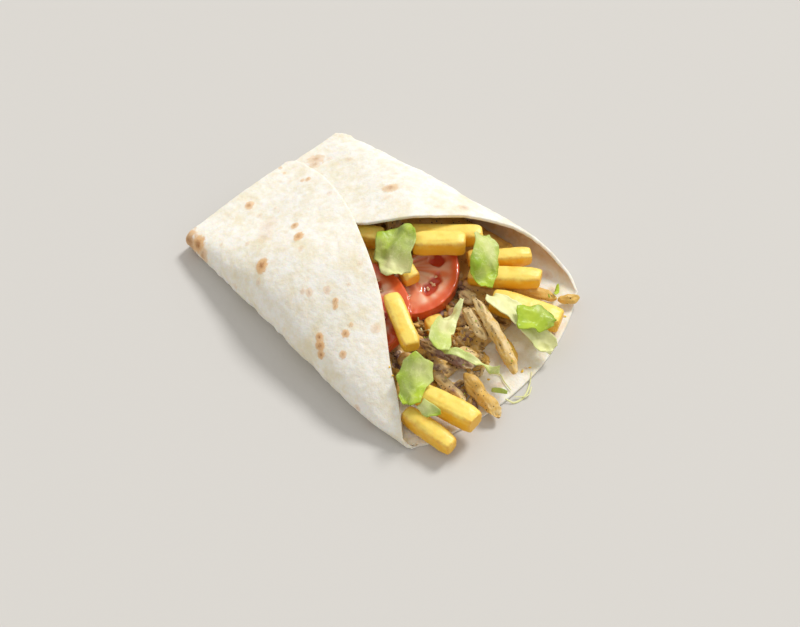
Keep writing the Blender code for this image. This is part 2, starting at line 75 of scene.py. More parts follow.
SHEET_LENGTH, SHEET_WIDTH = 175.0, 260.0  # about how long and wide the flat sheet is
RIM_STEPS, RIM_REACH = 5, 1.2  # points round the sheet's rim, and how far it stands out at most
# Lumps of several sizes, each as how high, how many mm across and its own seed.
SHEET_LUMPS = ((1, 24, 1), (0.5, 9, 2), (0.45, 3.2, 5))
FRY_LUMPS = ((1, 6, 0), (0.5, 2, 20))
FILLING_LUMPS = ((1, 5, 3), (0.6, 2.2, 4))
BLISTER_SHAPE = 0.7  # below 1 a blister rises steeply from its edge
CREASE_RUN = (1, 0.25, 0.5)  # creases are narrowest along x, and longest along y
CREASE_SIZE, CREASE_SEED = 7, 6

# Each profile is a smooth curve through (x, value).
LEFT_FOLD = ((-95, 55), (-49, 59.5), (-9, 63), (46, 66), (76, 62), (91, 60))
RIGHT_FOLD = (
    (-95, 55), (-49, 57.5), (-9, 60), (21, 65), (43.5, 66.5), (61, 65.5), (76, 62), (91, 60),
)
HEIGHT = (
    (-95, 11.8), (-79, 15.5), (-49, 26), (-21, 35), (-4, 36), (19, 32),
    (37, 29.5), (48, 26), (57, 20), (67, 15), (75, 9), (91, 3),
)
SQUARENESS = ((-95, 18), (-66.5, 7), (-36.5, 3.8), (-9, 2.9), (48.5, 2.4), (91, 2.2))
# The height of the widest line, as a part of the whole.
WAIST = ((-95, 0.5), (-51.5, 0.4), (-1.5, 0.36), (91, 0.36))
# How far the right flap lies below the left one.
LAP = ((-95, 4.1), (-71.5, 4.0), (-46.5, 3.2), (-26.5, 2.4), (-16.5, 2.2), (-1.5, 1.0), (10.5, 0))
# The sheet's long edges, as distances along the section from the middle of the floor.
LEFT_RIM = ((-95, 137.5), (-66, 143), (-21, 140), (19, 121), (48, 97), (67, 73.5), (78.5, 54.4))
RIGHT_RIM = (
    (-95, 122), (-49, 134), (-21, 132), (-1, 114), (14, 96), (31, 83), (51, 75), (69, 64.6),
)

BACK_CORNER = 8.0  # radius of the back corner of the right fold
SOAKED_SIDE = (22.0, 38.0)  # over these y the inside of the sheet gets soaked with oil
SOAKED_FLOOR = (1.5, 7.0)  # and over these heights
CREASE_ENDS = (25.0, 50.0)  # where the creases along the folds fade out
CORNER = 9.0  # how far from its ends the sheet's corners are rounded
# Toasted spots on the flat sheet: x, distance along the section (left negative), radius, darkness.
TOAST = (
    (-91, -61, 7, 0.9), (-84, -65, 5, 1.0), (-78, -63, 4, 0.7), (-88, -54, 5, 0.7),
    (-40, -87, 3.9, 1.0), (-83, -100, 2.9, 0.8), (-47, -113, 2.4, 0.8), (-38, -111, 3.1, 0.9),
    (-72, -135, 1.9, 0.7), (-74, -132, 1.5, 0.6), (-93, -127, 1.4, 0.5), (-88, -127, 1.2, 0.5),
    (-86, 87, 4.5, 0.5), (-83, 91, 3, 0.4), (-28, 103, 3.8, 0.6), (6, 93, 3, 0.35), (-45, 118, 1.5, 0.3),
    (-8, -98, 2.2, 0.45), (-11, -96, 1.6, 0.4), (-2, -105, 2.2, 0.4), (5, -104, 1.7, 0.85),
    (7, -102, 1.5, 0.8), (4, -114, 1.2, 0.3),
    (10.5, -86.5, 2.2, 0.95), (13.5, -83.5, 2.6, 1.0), (16.5, -80.5, 2.2, 0.95),
    (20, -96, 2.2, 0.9), (19, -101, 1.3, 0.6), (26, -88, 2.0, 0.8), (29, -108, 2.8, 0.35),
    (-61, -102, 6, 0.2), (-55, -97, 5, 0.2), (52, -64, 3, 0.6), (46, -72, 2, 0.4),
    (-30, 10, 6, 0.8), (-70, 25, 5, 0.9), (10, -35, 4, 0.8), (45, 20, 6, 0.7), (-50, -30, 4, 0.6),
    (35, 62, 2.5, 0.35), (52, 60, 3, 0.3), (20, 75, 2.5, 0.4), (60, 54, 2, 0.35), (71, 12, 3, 0.2),
)
SPOT_SPREAD = 1.15  # how many of its radii from its centre a toasted spot fades out
FRECKLES = 110  # small pale spots scattered over the sheet

# ---- the pieces ----------------------------------------------------------------------------------
EIGHT_SIDED = 1.55  # where the fries' bevels run: half width and half depth add up to this
SQUARE = 3.6  # how square a fry's cross-section is: 2 is round
FRY_BEND = 16  # how far apart a fry's slow bends are
FRY_ENDS = (0.6, 1.0)  # over these parts of its half length a fry narrows
FRY_EDGE = 0.9  # how far its crispest edges stand out
CUTS = 12  # flat cuts that shape a strip of chicken
CUTS_ALONG = 0.8  # how far the cuts run along a piece: 1 is never across it
FIBRES_ALONG = 0.8  # how far the fibres are drawn out along a strip: 1 is endless
STRIP_LUMPS = ((0.7, 5, 0),)
# Furrows along a strip: their share of its relief, height of their ridges, mm across, own seed.
FURROWS = ((0.4, 0.4, 1.5, 40), (0.3, 0.3, 4, 80))
FURROW_DEPTH = 1.6
STRIP_HOLLOW, FILLING_HOLLOW = 0.5, 0.8  # how deep a hollow is that gets the most painted shade
CUT_PLACES = (0.76, 0.92)  # how far out of a piece its flat cuts lie, as parts of its reach
BITS = 230  # chopped bits of chicken
# Where they lie: lowest and highest x, lowest and highest y. A place listed twice has twice as many.
BIT_PLACES = ((20, 62, -45, 45), (38, 66, -38, 20), (38, 66, -38, 20))
LOOSE_BITS = 30  # those that lie on the tongue
LOOSE_PLACES = ((60, 82, -34, -18), (58, 70, -12, 2), (66, 69, -51, -48))
FLAP_SIDE_PAINTED_LIGHT = (20, 34)  # over these y, towards the right flap, the filling is painted gold like the amber fries there, and lighter as painted light in the flap's shade

# ---- the chicken: how golden, how grey and how seared a strip is, compared with the usual -----------
TONES = {
    "strip_01": (-0.2, 0.18, 0.2), "strip_02": (-0.1, 0, 0), "strip_03": (0.1, -0.2, -0.1),
    "strip_04": (0, 0, 0), "strip_05": (-0.1, 0.1, 0.1), "strip_06": (0, -0.1, 0.1),
    # strip_09 is gold like its crust, and is also made lighter and less seared as painted light where fry_06
    # shades it.
    "strip_07": (-0.1, -0.2, 0), "strip_08": (0, -0.2, -0.05), "strip_09": (0.2, -0.3, -0.25),
    "strip_10": (0.2, -0.3, -0.4), "strip_11": (0.1, -0.1, 0), "strip_12": (0.2, -0.1, 0),
    "strip_13": (0.1, -0.1, 0),
}

# ---- the tomatoes: centre of the cut, heading of the round side, lean, which way it leans, radius ----
TOMATOES = {
    "tomato_01": (2.8, 4.7, 10, 2, -42, 30),
    "tomato_02": (6.2, -34, 38, 5, -110, 30.5),
}
# Their seed pockets: angle from the round side's heading and half the spread in degrees, distance out
# and half the width, as parts of the radius.
POCKETS = ((-1, 21, 0.64, 0.11), (48, 13, 0.62, 0.12), (-52, 14, 0.62, 0.12))
POCKET_DEPTH = 1.0  # how far the jelly lies below the cut
POCKET_END, POCKET_FADE = 1.15, 0.35  # where a pocket ends, in its half widths, and over how much of one
FLUTES = (7, 3)  # how closely the pale streaks follow each other round a slice and outwards
SLICE_FACE = 0.35  # beyond this part of its thickness, from the middle, a point is on a cut face
SEEDS, POCKET_SEEDS = 26, 8  # in all, and the places for one in a pocket
SEED_SPREAD = 0.8  # how far over a pocket its seeds are spread
SEED_SUNK = 0.7  # how far they lie below the cut

# ---- the lettuce: centre x, y, heading, length, width, how pale it is ---------------------------------
LEAVES = {
    "leaf_01": (2.5, 2, -30, 28, 22, 0.5),
    "leaf_02": (35.5, 31, -41, 27, 13, 0.32),
    "leaf_03": (74.5, 26, 45, 19, 17, 0.0),
    "leaf_04": (69.3, 21.5, 16, 38, 13, 1.25),
    "leaf_05": (50, -8.5, 116, 34, 13, 0.75),
    "leaf_06": (61.5, -43, -60, 22.5, 17, 0.2),
    "leaf_07": (69.5, -14, 35, 28, 4.5, 0.6),
    "leaf_08": (74.5, -47, 7, 11, 7, 0.5),
}

# ---- thin shreds: how pale, width, depth, how far they lie over what is below, and their way in x, y ------
STRANDS = (
    (1.0, 1.0, 0.6, 1.0, ((29, -9.4), (35, -12.6), (38, -13), (45, -15))),
    (0.9, 1.0, 0.5, 0.8, ((66, -6), (69, -3), (73, -4), (77, -2), (81, -3.5), (87, -5))),
    (1.0, 1.1, 0.4, 0.5, ((88, -10), (92, -8), (93, -2), (90, 5), (86.5, 10))),
    (0.9, 0.8, 0.4, 1.2, ((90, -6), (94, -1), (92, 4))),
    (0.2, 3.0, 0.5, 0.5, ((80, -11), (83, -9), (86.5, -7))),
    (0.0, 2.4, 0.5, 3.0, ((66, 49), (64, 53), (61, 57))),
)
STRAND_STEP, STRAND_SIDES = 0.8, 8  # between a shred's rings, and its sides
STRAND_EASE = 3  # rings to each side over which the height of a shred is evened out
STRAND_TIP = 0.25  # how pointed a shred ends: 0 is a point
LEAF_CUTS = 4  # cuts across each edge of a leaf's solid
LEAF_UPPER = 0.25  # faces that point up more than this are its upper side
ANY_ANGLE = 3.1  # in radians, so that all its triangles are joined in pairs
LEAF_RIPPLE, LEAF_CRIMP = 8, 3.5  # how far apart its ripples are, and those of its edge

# ---- small scattered things ------------------------------------------------------------------------
LUMP_POINTS = 162  # of a small lump
LUMP_CUTS = 6  # flat cuts that shape it
LUMP_RELIEF = 0.2  # height of its own lumps, as a part of its width
TRIES = 6  # places that are tried for each one
TOO_STEEP = 0.3  # it isn't laid where the upward part of the surface's normal is less than this
TILT = 0.3  # how far it usually tilts from lying flat, in radians
RESTING = 0.25  # how far its middle lies over the surface, as a part of its height
HERBS = 22  # flecks of herb on the chicken
CRUMBS = 12  # crumbs of fried potato
CRUMB_CRUST = 0.3  # how crisp they are, and how far they count as facing up for the fry's painted sheen
# Where they lie: lowest and highest x, lowest and highest y.
FLECK_PLACES = ((40, 88, -50, 52),)

# ---- the view: what it looks at, from how far, which way round, how high and how much rolled -----
VIEW_TARGET = (14.8, -8.0, 0.0)
VIEW_DISTANCE = 741.7
VIEW_TURN, VIEW_RISE, VIEW_ROLL = -42.0, 52.39, -3.21
VIEW_LENS = 67.18
SUN_FROM = (-0.07, 0.74, 0.75)
SUN_STRENGTH, SUN_SPREAD = 2.1, 16.0  # and degrees across, as from a wide window
ROOM_STRENGTH, ROOM_TINT = 0.66, (1, 0.985, 0.96, 1)
FLOOR_SPAN = 3.0  # half the floor's width, in metres

MIX_FACTOR, MIX_A, MIX_B, MIX_RESULT = 0, 6, 7, 2  # a colour mix node's sockets, which share their names


def linear(code):
    """An sRGB hex colour as the linear values that Blender takes."""

    def channel(text):
        value = int(text, 16) / 255
        return value / 12.92 if value <= 0.04045 else ((value + 0.055) / 1.055) ** 2.4

    return tuple(channel(code[k : k + 2]) for k in (0, 2, 4))


def length_setting(name, description, default):
    return bpy.props.FloatProperty(
        name=name, description=description, default=default * MM, precision=5, unit="LENGTH"
    )


def colour_setting(name, description, code):
    return bpy.props.FloatVectorProperty(
        name=name, description=description, default=linear(code), subtype="COLOR", min=0, max=1
    )


class WrapSizes(bpy.types.PropertyGroup):
    sheet: length_setting("Sheet", "Thickness of one layer of tortilla", 1.8)
    sheet_waves: length_setting("Sheet waves", "Height of the tortilla's gentle unevenness", 0.45)
    blister: length_setting("Blister", "How far a toasted spot stands up", 0.4)
    crease: length_setting("Crease", "Depth of the creases across the tortilla's folds", 1.8)
    fry_cell: length_setting("Fry cell", "Size of the cells a fry is cut into", 0.7)
    fry_relief: length_setting("Fry relief", "Height of the unevenness of a fry", 0.2)
    fry_taper: length_setting("Fry taper", "How much a fry narrows, most of all at its ends", 0.8)
    chicken_cell: length_setting("Chicken cell", "Size of the cells a strip is cut into", 0.45)
    chicken_relief: length_setting("Chicken relief", "Height of the lumps and fibres of the chicken", 0.9)
    filling_cell: length_setting("Filling cell", "Size of the cells the packed filling is cut into", 1.1)
    filling_relief: length_setting("Filling relief", "Height of the lumps of the packed filling", 1.6)
    tomato_cell: length_setting("Tomato cell", "Size of the cells a slice is cut into", 0.6)
    leaf: length_setting("Leaf", "Thickness of the lettuce", 0.4)
    frill: length_setting("Frill", "Height of the ripples of the lettuce towards its edges", 1.8)
    chop: length_setting("Chop", "Usual size of a chopped bit of chicken", 4.4)


class WrapColours(bpy.types.PropertyGroup):
    cream: colour_setting("Cream", "Tortilla where it is thickest", "EEE6D2")
    flour: colour_setting("Flour", "Tortilla where flour is left on it", "F4F1E8")
    stain: colour_setting("Stain", "Tortilla where it was warmed longest", "E2D5AC")
    oil: colour_setting("Oil", "Tortilla where oil from the filling soaked in", "CFA064")
    toast: colour_setting("Toast", "Tortilla where it is lightly toasted", "E3B988")
    scorch: colour_setting("Scorch", "Tortilla where it is browned", "A8703F")
    fry: colour_setting("Fry", "The soft faces of a fry", "FFE06C")
    # Gold also stands for painted shade: it is laid more on a fry's sides than on its top.
    fry_gold: colour_setting("Fry gold", "Where a fry took more oil", "F6BC30")
    fry_brown: colour_setting("Fry brown", "The crisp edges and ends of a fry", "CF8A34")
    chicken: colour_setting("Chicken", "Cooked chicken", "E8CC94")
    chicken_gold: colour_setting("Chicken gold", "The spiced crust of the chicken", "E4B85C")
    chicken_grey: colour_setting("Chicken grey", "Lean chicken that was steamed more than fried", "97766E")
    # Used both for sear and for painted shade in the chicken's hollows.
    chicken_dark: colour_setting("Chicken dark", "Where the chicken is seared", "6E4A28")
    pepper: colour_setting("Pepper", "Ground black pepper", "241C18")
    peel: colour_setting("Peel", "The skin of the tomato", "E0602E")
    flesh: colour_setting("Flesh", "The flesh of the tomato", "EC865A")
    flesh_pale: colour_setting("Flesh pale", "The pale streaks in the tomato's flesh", "F8CDAE")
    jelly: colour_setting("Jelly", "The seed pockets of the tomato", "C8442A")
    seed: colour_setting("Seed", "Tomato seeds", "F0C79C")
    leaf_pale: colour_setting("Leaf pale", "The ribs and inner leaves of the lettuce", "FAFABE")
    leaf_green: colour_setting("Leaf green", "The lettuce leaf", "C8DE48")
    leaf_dark: colour_setting("Leaf dark", "The outer edge of the lettuce leaf", "86AC2C")
    floor: colour_setting("Floor", "The floor under the wrap", "CFCCC7")


def sizes():
    """The sizes in millimetres, by name."""
    group = bpy.context.scene.wrap_sizes
    return {name: getattr(group, name) / MM for name in WrapSizes.__annotations__}


def colours():
    """The colours with full opacity, by name."""
    group = bpy.context.scene.wrap_colours
    return {name: (*getattr(group, name), 1) for name in WrapColours.__annotations__}


# ---- materials ------------------------------------------------------------------------------------


def connect(tree, node, inputs):
    """Gives a node its inputs: a socket is linked to the input, and anything else is its value."""
    for name, value in inputs.items():
        if isinstance(value, bpy.types.NodeSocket):
            tree.links.new(value, node.inputs[name])
        else:
            node.inputs[name].default_value = value


def add(tree, kind, output, inputs=None, **settings):
    """Adds a node with its settings and inputs, and returns one of its outputs."""
    node = tree.nodes.new(kind)
    for name, value in settings.items():
        setattr(node, name, value)
    connect(tree, node, inputs or {})
    return node.outputs[output]


def per_mm(size):
    """The scale of a texture whose features are this many millimetres across."""
    return 1 / (size * MM)


def new_material(name, carried, clouds):
    """A material, its tree, the values that its mesh carries by name, and its cloudy patterns.

    Each pattern is given as its size in millimetres, its detail and its roughness."""
    material = bpy.data.materials.new(name)
    material.use_nodes = True
    tree = material.node_tree
    place = add(tree, "ShaderNodeTexCoord", "Object")
    values = [add(tree, "ShaderNodeAttribute", "Fac", attribute_name=value) for value in carried]
    patterns = [
        add(
            tree, "ShaderNodeTexNoise", "Fac",
            {"Vector": place, "Scale": per_mm(size), "Detail": detail, "Roughness": rough},
        )
        for size, detail, rough in clouds
    ]
    return material, tree, values, patterns


def surface(tree, look, base, coats, relief, strength, depth, inputs):
    """Paints coats over the base colour, each as far as its socket says, and adds relief depth mm deep.

    The other inputs of the shader are given by name. Returns the colour."""
    colour = look[base]
    for amount, name in coats:
        colour = add(
            tree, "ShaderNodeMix", MIX_RESULT, {MIX_FACTOR: amount, MIX_A: colour, MIX_B: look[name]},
            data_type="RGBA",
        )
    normal = add(
        tree, "ShaderNodeBump", "Normal", {"Height": relief, "Strength": strength, "Distance": depth * MM}
    )
    connect(tree, tree.nodes["Principled BSDF"], {"Base Color": colour, "Normal": normal, **inputs})
    return colour


def tortilla_material(look):
    """Soft wheat tortilla: floury and matt, thin enough to glow a little, browned on its blisters."""
    # The patterns are flecks of flour, warmed patches, the ragged edges of toasted spots, and grain.
    material, tree, (soaked, toast, dark), (flour, patch, ragged, grain) = new_material(
        "flour_tortilla",
        ("soaked", "toast", "dark"),
        ((5, 5, 0.7), (17, 4, 0.65), (1.8, 6, 0.75), (2.6, 4, 0.6)),
    )
    floury = add(
        tree, "ShaderNodeMapRange", "Result", {"Value": flour, "From Min": 0.36, "From Max": 0.58}
    )
    stained = add(
        tree, "ShaderNodeMapRange", "Result",
        {"Value": patch, "From Min": 0.5, "From Max": 0.66, "To Max": 0.55},
    )
    seeping = add(
        tree, "ShaderNodeMapRange", "Result",
        {"Value": patch, "From Min": 0.3, "From Max": 0.65, "To Min": 0.35, "To Max": 0.85},
    )
    oily = add(tree, "ShaderNodeMath", "Value", {0: seeping, 1: soaked}, operation="MULTIPLY")
    edge = add(tree, "ShaderNodeMath", "Value", {0: ragged, 1: 1.1, 2: toast}, operation="MULTIPLY_ADD")
    # A spot is tan out to its ragged edge, and brown only well inside it.
    tanned, browned = (
        add(
            tree, "ShaderNodeMath", "Value",
            {
                0: add(
                    tree, "ShaderNodeMapRange", "Result",
                    {"Value": edge, "From Min": start, "From Max": full},
                    interpolation_type="SMOOTHSTEP",
                ),
                1: dark,
            },
            operation="MULTIPLY",
        )
        for start, full in ((0.5, 0.95), (1.0, 1.75))
    )
    coats = (
        (floury, "flour"), (stained, "stain"), (oily, "oil"), (tanned, "toast"), (browned, "scorch"),
    )
    surface(tree, look, "cream", coats, grain, 0.6, 0.8, {
        "Roughness": 0.7, "IOR": 1.45, "Specular IOR Level": 0.3,
        "Subsurface Weight": 0.2, "Subsurface Radius": (1.0, 0.7, 0.4), "Subsurface Scale": 1.2 * MM,
    })
    return material


def fry_material(look):
    """Deep-fried potato: soft oily faces, gold in patches, paler tops as painted sheen, a little browner on
    its edges and ends.
    """
    # The patterns are where it took more oil, and the speckle of its crust.
    material, tree, (upper, crisp), (patch, speckle) = new_material(
        "fried_potato", ("upper", "crisp"), ((5.5, 4, 0.6), (2.2, 5, 0.65))
    )
    # Faces that point up get less gold: painted sheen on a fry's top, and painted shade that leaves its sides
    # deeper gold.
    oily = add(tree, "ShaderNodeMath", "Value", {0: upper, 1: -0.45, 2: patch}, operation="MULTIPLY_ADD")
    gold_and_painted_light = add(
        tree, "ShaderNodeMapRange", "Result", {"Value": oily, "From Min": 0.05, "From Max": 0.5}
    )
    crust = add(tree, "ShaderNodeMath", "Value", {0: speckle, 1: 0.9, 2: crisp}, operation="MULTIPLY_ADD")
    brown = add(
        tree, "ShaderNodeMapRange", "Result",
        {"Value": crust, "From Min": 0.7, "From Max": 1.35, "To Max": 0.75},
        interpolation_type="SMOOTHSTEP",
    )
    surface(tree, look, "fry", ((gold_and_painted_light, "fry_gold"), (brown, "fry_brown")), speckle, 0.35, 0.35, {
        "Roughness": 0.38, "IOR": 1.47,
        "Subsurface Weight": 0.25, "Subsurface Radius": (1.0, 0.7, 0.2), "Subsurface Scale": 1.5 * MM,
    })
    return material


def chicken_material(look, name, wet):
    """Pan-fried spiced chicken: tan meat, gold crust, dark sear in patches, painted shade in its hollows, and
    ground pepper on it.
    """
    # The patterns are the crust, the clouds of grey meat, and the sear.
    material, tree, (gold, lean, shade_and_sear), (patch, cloud, sear) = new_material(
        name, ("gold", "lean", "shade_and_sear"), ((5, 5, 0.65), (9, 4, 0.7), (3.4, 6, 0.75))
    )
    gold_and_painted_light = add(tree, "ShaderNodeMath", "Value", {0: patch, 1: gold}, operation="ADD")
    crusty = add(
        tree, "ShaderNodeMapRange", "Result", {"Value": gold_and_painted_light, "From Min": 0.43, "From Max": 0.6}
    )
    grey = add(tree, "ShaderNodeMath", "Value", {0: cloud, 1: lean}, operation="ADD")
    steamed = add(tree, "ShaderNodeMapRange", "Result", {"Value": grey, "From Min": 0.5, "From Max": 0.7})
    # Dark where the sear pattern is strong, and in the hollows, where the dark is painted shade.
    darker = add(tree, "ShaderNodeMath", "Value", {0: sear, 1: 1.2, 2: shade_and_sear}, operation="MULTIPLY_ADD")
    seared_and_shaded = add(
        tree, "ShaderNodeMapRange", "Result",
        {"Value": darker, "From Min": 0.6, "From Max": 1.05, "To Max": 0.8},
        interpolation_type="SMOOTHSTEP",
    )
    # A grain of pepper lies in the middle of one cell in five.
    place = tree.nodes["Texture Coordinate"].outputs["Object"]
    middle = add(
        tree, "ShaderNodeTexVoronoi", "Distance", {"Vector": place, "Scale": per_mm(1.3), "Randomness": 1}
    )
    chance = add(tree, "ShaderNodeSeparateColor", "Red", {"Color": middle.node.outputs["Color"]})
    few = add(tree, "ShaderNodeMath", "Value", {0: chance, 1: 0.8}, operation="GREATER_THAN")
    near = add(tree, "ShaderNodeMapRange", "Result", {"Value": middle, "From Min": 0.3, "From Max": 0.2})
    grain = add(tree, "ShaderNodeMath", "Value", {0: few, 1: near}, operation="MULTIPLY")
    coats = (
        (crusty, "chicken_gold"), (steamed, "chicken_grey"), (seared_and_shaded, "chicken_dark"), (grain, "pepper"),
    )
    surface(tree, look, "chicken", coats, sear, 0.8, 0.9, {
        "Roughness": 0.5, "IOR": 1.45, "Coat Weight": wet, "Coat Roughness": 0.25,
    })
    return material


def tomato_material(look):
    """Cut ripe tomato: a thin shiny peel, wet pale-streaked flesh and darker jelly round the seeds."""
    material, tree, (rim, pocket, streak), (fine,) = new_material(
        "cut_tomato", ("rim", "pocket", "streak"), ((1.2, 3, 0.5),)
    )
    peeled = add(
        tree, "ShaderNodeMapRange", "Result", {"Value": rim, "From Min": 0.8, "From Max": 0.93},
        interpolation_type="SMOOTHSTEP",
    )
    coats = ((streak, "flesh_pale"), (pocket, "jelly"), (peeled, "peel"))
    surface(tree, look, "flesh", coats, fine, 0.3, 0.3, {
        "Roughness": 0.3, "IOR": 1.35, "Coat Weight": 0.7, "Coat Roughness": 0.08,
        "Subsurface Weight": 0.3, "Subsurface Radius": (1.0, 0.3, 0.15), "Subsurface Scale": 1.5 * MM,
    })
    return material


def lettuce_material(look):
    """Crisp lettuce: waxy, thin enough for light to come through, pale along its ribs."""
    # The patterns are the veins, the deeper green, and the crinkles.
    material, tree, (pale,), (lines, blotch, crinkle) = new_material(
        "lettuce_leaf", ("pale",), ((4.5, 2, 0.6), (10, 4, 0.5), (2.6, 3, 0.5))
    )
    # A vein runs where its pattern crosses its middle value.
    off = add(tree, "ShaderNodeMath", "Value", {0: lines, 1: 0.5}, operation="SUBTRACT")
    beside = add(tree, "ShaderNodeMath", "Value", {0: off}, operation="ABSOLUTE")
    vein = add(
        tree, "ShaderNodeMapRange", "Result",
        {"Value": beside, "From Min": 0.03, "From Max": 0.0, "To Max": 0.22},
    )
    deep = add(
        tree, "ShaderNodeMapRange", "Result",
        {"Value": blotch, "From Min": 0.38, "From Max": 0.68, "To Max": 0.7},
    )
    light = add(tree, "ShaderNodeMath", "Value", {0: pale, 1: vein}, operation="ADD", use_clamp=True)
    colour = surface(
        tree, look, "leaf_green", ((deep, "leaf_dark"), (light, "leaf_pale")), crinkle, 0.5, 0.9,
        {"Roughness": 0.32, "IOR": 1.42, "Specular IOR Level": 0.35},
    )
    through = add(tree, "ShaderNodeBsdfTranslucent", "BSDF", {"Color": colour})
    waxy = tree.nodes["Principled BSDF"].outputs["BSDF"]
    both = add(tree, "ShaderNodeMixShader", "Shader", {0: 0.2, 1: waxy, 2: through})
    connect(tree, tree.nodes["Material Output"], {"Surface": both})
    return material


def plain_material(name, inputs):
    """A material that is the same all over."""
    material, tree, _, _ = new_material(name, (), ())
    connect(tree, tree.nodes["Principled BSDF"], inputs)
    return material


def seed_material(look):
    """Tomato seed: pale, and slick from its jelly."""
    return plain_material("tomato_seed", {"Base Color": look["seed"], "Roughness": 0.2, "IOR": 1.4})


def floor_material(look):
    """A plain matt floor."""
    return plain_material("floor", {"Base Color": look["floor"], "Roughness": 0.8})


# ---- meshes ---------------------------------------------------------------------------------------


def smooth_step(value, start, end):
    """0 below start, 1 above end and smooth between them, for a number or an array."""
    t = np.clip((value - start) / (end - start), 0, 1)
    return t * t * (3 - 2 * t)


def read(mesh, what):
    flat = np.empty(len(mesh.vertices) * 3)
    mesh.vertices.foreach_get(what, flat)
    return flat.reshape(-1, 3)


def form_of(mesh):
    """A mesh's points in millimetres, and its normals there."""
    return read(mesh, "co") / MM, read(mesh, "normal")


def set_points(mesh, points):
    mesh.vertices.foreach_set("co", (points * MM).ravel())
    mesh.update()


def set_value(mesh, name, values):
    attribute = mesh.attributes.new(name, "FLOAT", "POINT")
    attribute.data.foreach_set("value", np.asarray(values, np.float32))


def mesh_of(name, points, faces):
    mesh = bpy.data.meshes.new(name)
    mesh.from_pydata([tuple(point) for point in np.asarray(points) * MM], [], faces)
    mesh.update()
    return mesh


def show(name, mesh, material, slot, *replaced):
    """Links a finished piece, smooth and riding on the wrap, in place of the solids it stands for."""
    mesh.shade_smooth()
    mesh.materials.clear()
    mesh.materials.append(material)
    obj = bpy.data.objects.new(name, mesh)
    bpy.context.scene.collection.objects.link(obj)
    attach(obj, "root")
    if replaced:
        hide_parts(*replaced)
    return obj


def solids(start):
    """The names of the solids that start like this."""
    return sorted(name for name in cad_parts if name.startswith(start))


def solid_copy(name):
    """The mesh of a solid as a bmesh whose split points are joined again."""
    bm = bmesh.new()
    bm.from_mesh(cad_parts[name].data)
    bmesh.ops.remove_doubles(bm, verts=bm.verts, dist=1e-6)
    return bm


def refined(name, cell, rounds):
    """A solid cut into fine even cells, its edges rounded by this many rounds of smoothing."""
    bm = solid_copy(name)
    rough = bpy.data.meshes.new("rough")
    bm.to_mesh(rough)
    bm.free()
    helper = bpy.data.objects.new("helper", rough)
    bpy.context.scene.collection.objects.link(helper)
    remesh = helper.modifiers.new("Cells", "REMESH")
    remesh.mode = "VOXEL"
    remesh.voxel_size = cell * MM
    soften = helper.modifiers.new("Rounding", "SMOOTH")
    soften.factor = 0.5
    soften.iterations = rounds
    graph = bpy.context.evaluated_depsgraph_get()
    mesh = bpy.data.meshes.new_from_object(helper.evaluated_get(graph))
    bpy.data.objects.remove(helper)
    return mesh


def lumps(points, size, seed):
    """Smooth noise at each point, about -0.7 to 0.7, with features this many millimetres across."""
    shift = Vector((seed * 7.31, seed * 3.77, seed * 5.13))
    return np.array([noise.noise(Vector(point) / size + shift) for point in points])


def added_lumps(points, kinds, seed=0):
    """Lumps of several sizes added up, each given as how high, how many mm across and its own seed."""
    return sum(height * lumps(points, size, seed + own) for height, size, own in kinds)


def standing_out(mesh, rounds):
    """How far each point stands out from its surroundings, in mm: positive on edges and ends."""
    points, normals = form_of(mesh)
    edges = np.empty(len(mesh.edges) * 2, np.int64)
    mesh.edges.foreach_get("vertices", edges)
    ends = np.concatenate([edges.reshape(-1, 2), edges.reshape(-1, 2)[:, ::-1]])
    count = np.bincount(ends[:, 0], minlength=len(points)).clip(1)
    blurred = points
    for _ in range(rounds):
        blurred = np.stack(
            [np.bincount(ends[:, 0], blurred[ends[:, 1], axis], len(points)) for axis in range(3)], axis=1
        ) / count[:, None]
    return ((points - blurred) * normals).sum(axis=1)


def long_axis(points):
    """The direction in which points spread most, and their middle."""
    middle = points.mean(axis=0)
    return np.linalg.svd(points - middle, full_matrices=False)[2][0], middle


# ---- the tortilla -----------------------------------------------------------------------------------


def profile(keys, x):
    """A smooth curve through (x, value) pairs, level beyond its ends."""
    xs = [key[0] for key in keys]
    ys = [key[1] for key in keys]
    if x <= xs[0]:
        return ys[0]
    if x >= xs[-1]:
        return ys[-1]
    i = max(k for k in range(len(xs) - 1) if xs[k] <= x)

    def slope(k):
        low, high = max(k - 1, 0), min(k + 1, len(xs) - 1)
        return (ys[high] - ys[low]) / (xs[high] - xs[low])

    span = xs[i + 1] - xs[i]
    t = (x - xs[i]) / span
    return (
        (1 + 2 * t) * (1 - t) ** 2 * ys[i]
        + t * (1 - t) ** 2 * span * slope(i)
        + t * t * (3 - 2 * t) * ys[i + 1]
        + t * t * (t - 1) * span * slope(i + 1)
    )


def outline(near, far, height, waist, rounding, square):
    """Half a section: out along the floor to the near fold, round it, and over the top to the far one.

    Returns arrays of distance along it, of the side distance (near side positive) and of height."""
    floor_steps, turn_steps, rise_steps = SECTION_STEPS
    floor = np.linspace(0, near - rounding, floor_steps)[:-1]
    turn = np.linspace(0, math.pi / 2, turn_steps)[:-1]
    rise = np.linspace(0, math.pi / 2, rise_steps)
    over = rise[::-1][1:]
    side = np.concatenate([
        floor,
        near - rounding + rounding * np.sin(turn),
        near * np.cos(rise).clip(0) ** (2 / square),
        -far * np.cos(over).clip(0) ** (2 / square),
    ])
    up = np.concatenate([
        np.zeros(len(floor)),
        waist - waist * np.cos(turn),
        waist + (height - waist) * np.sin(rise),
        waist + (height - waist) * np.sin(over),
    ])
    along = np.concatenate([[0], np.cumsum(np.hypot(np.diff(side), np.diff(up)))])
    return along, side, up


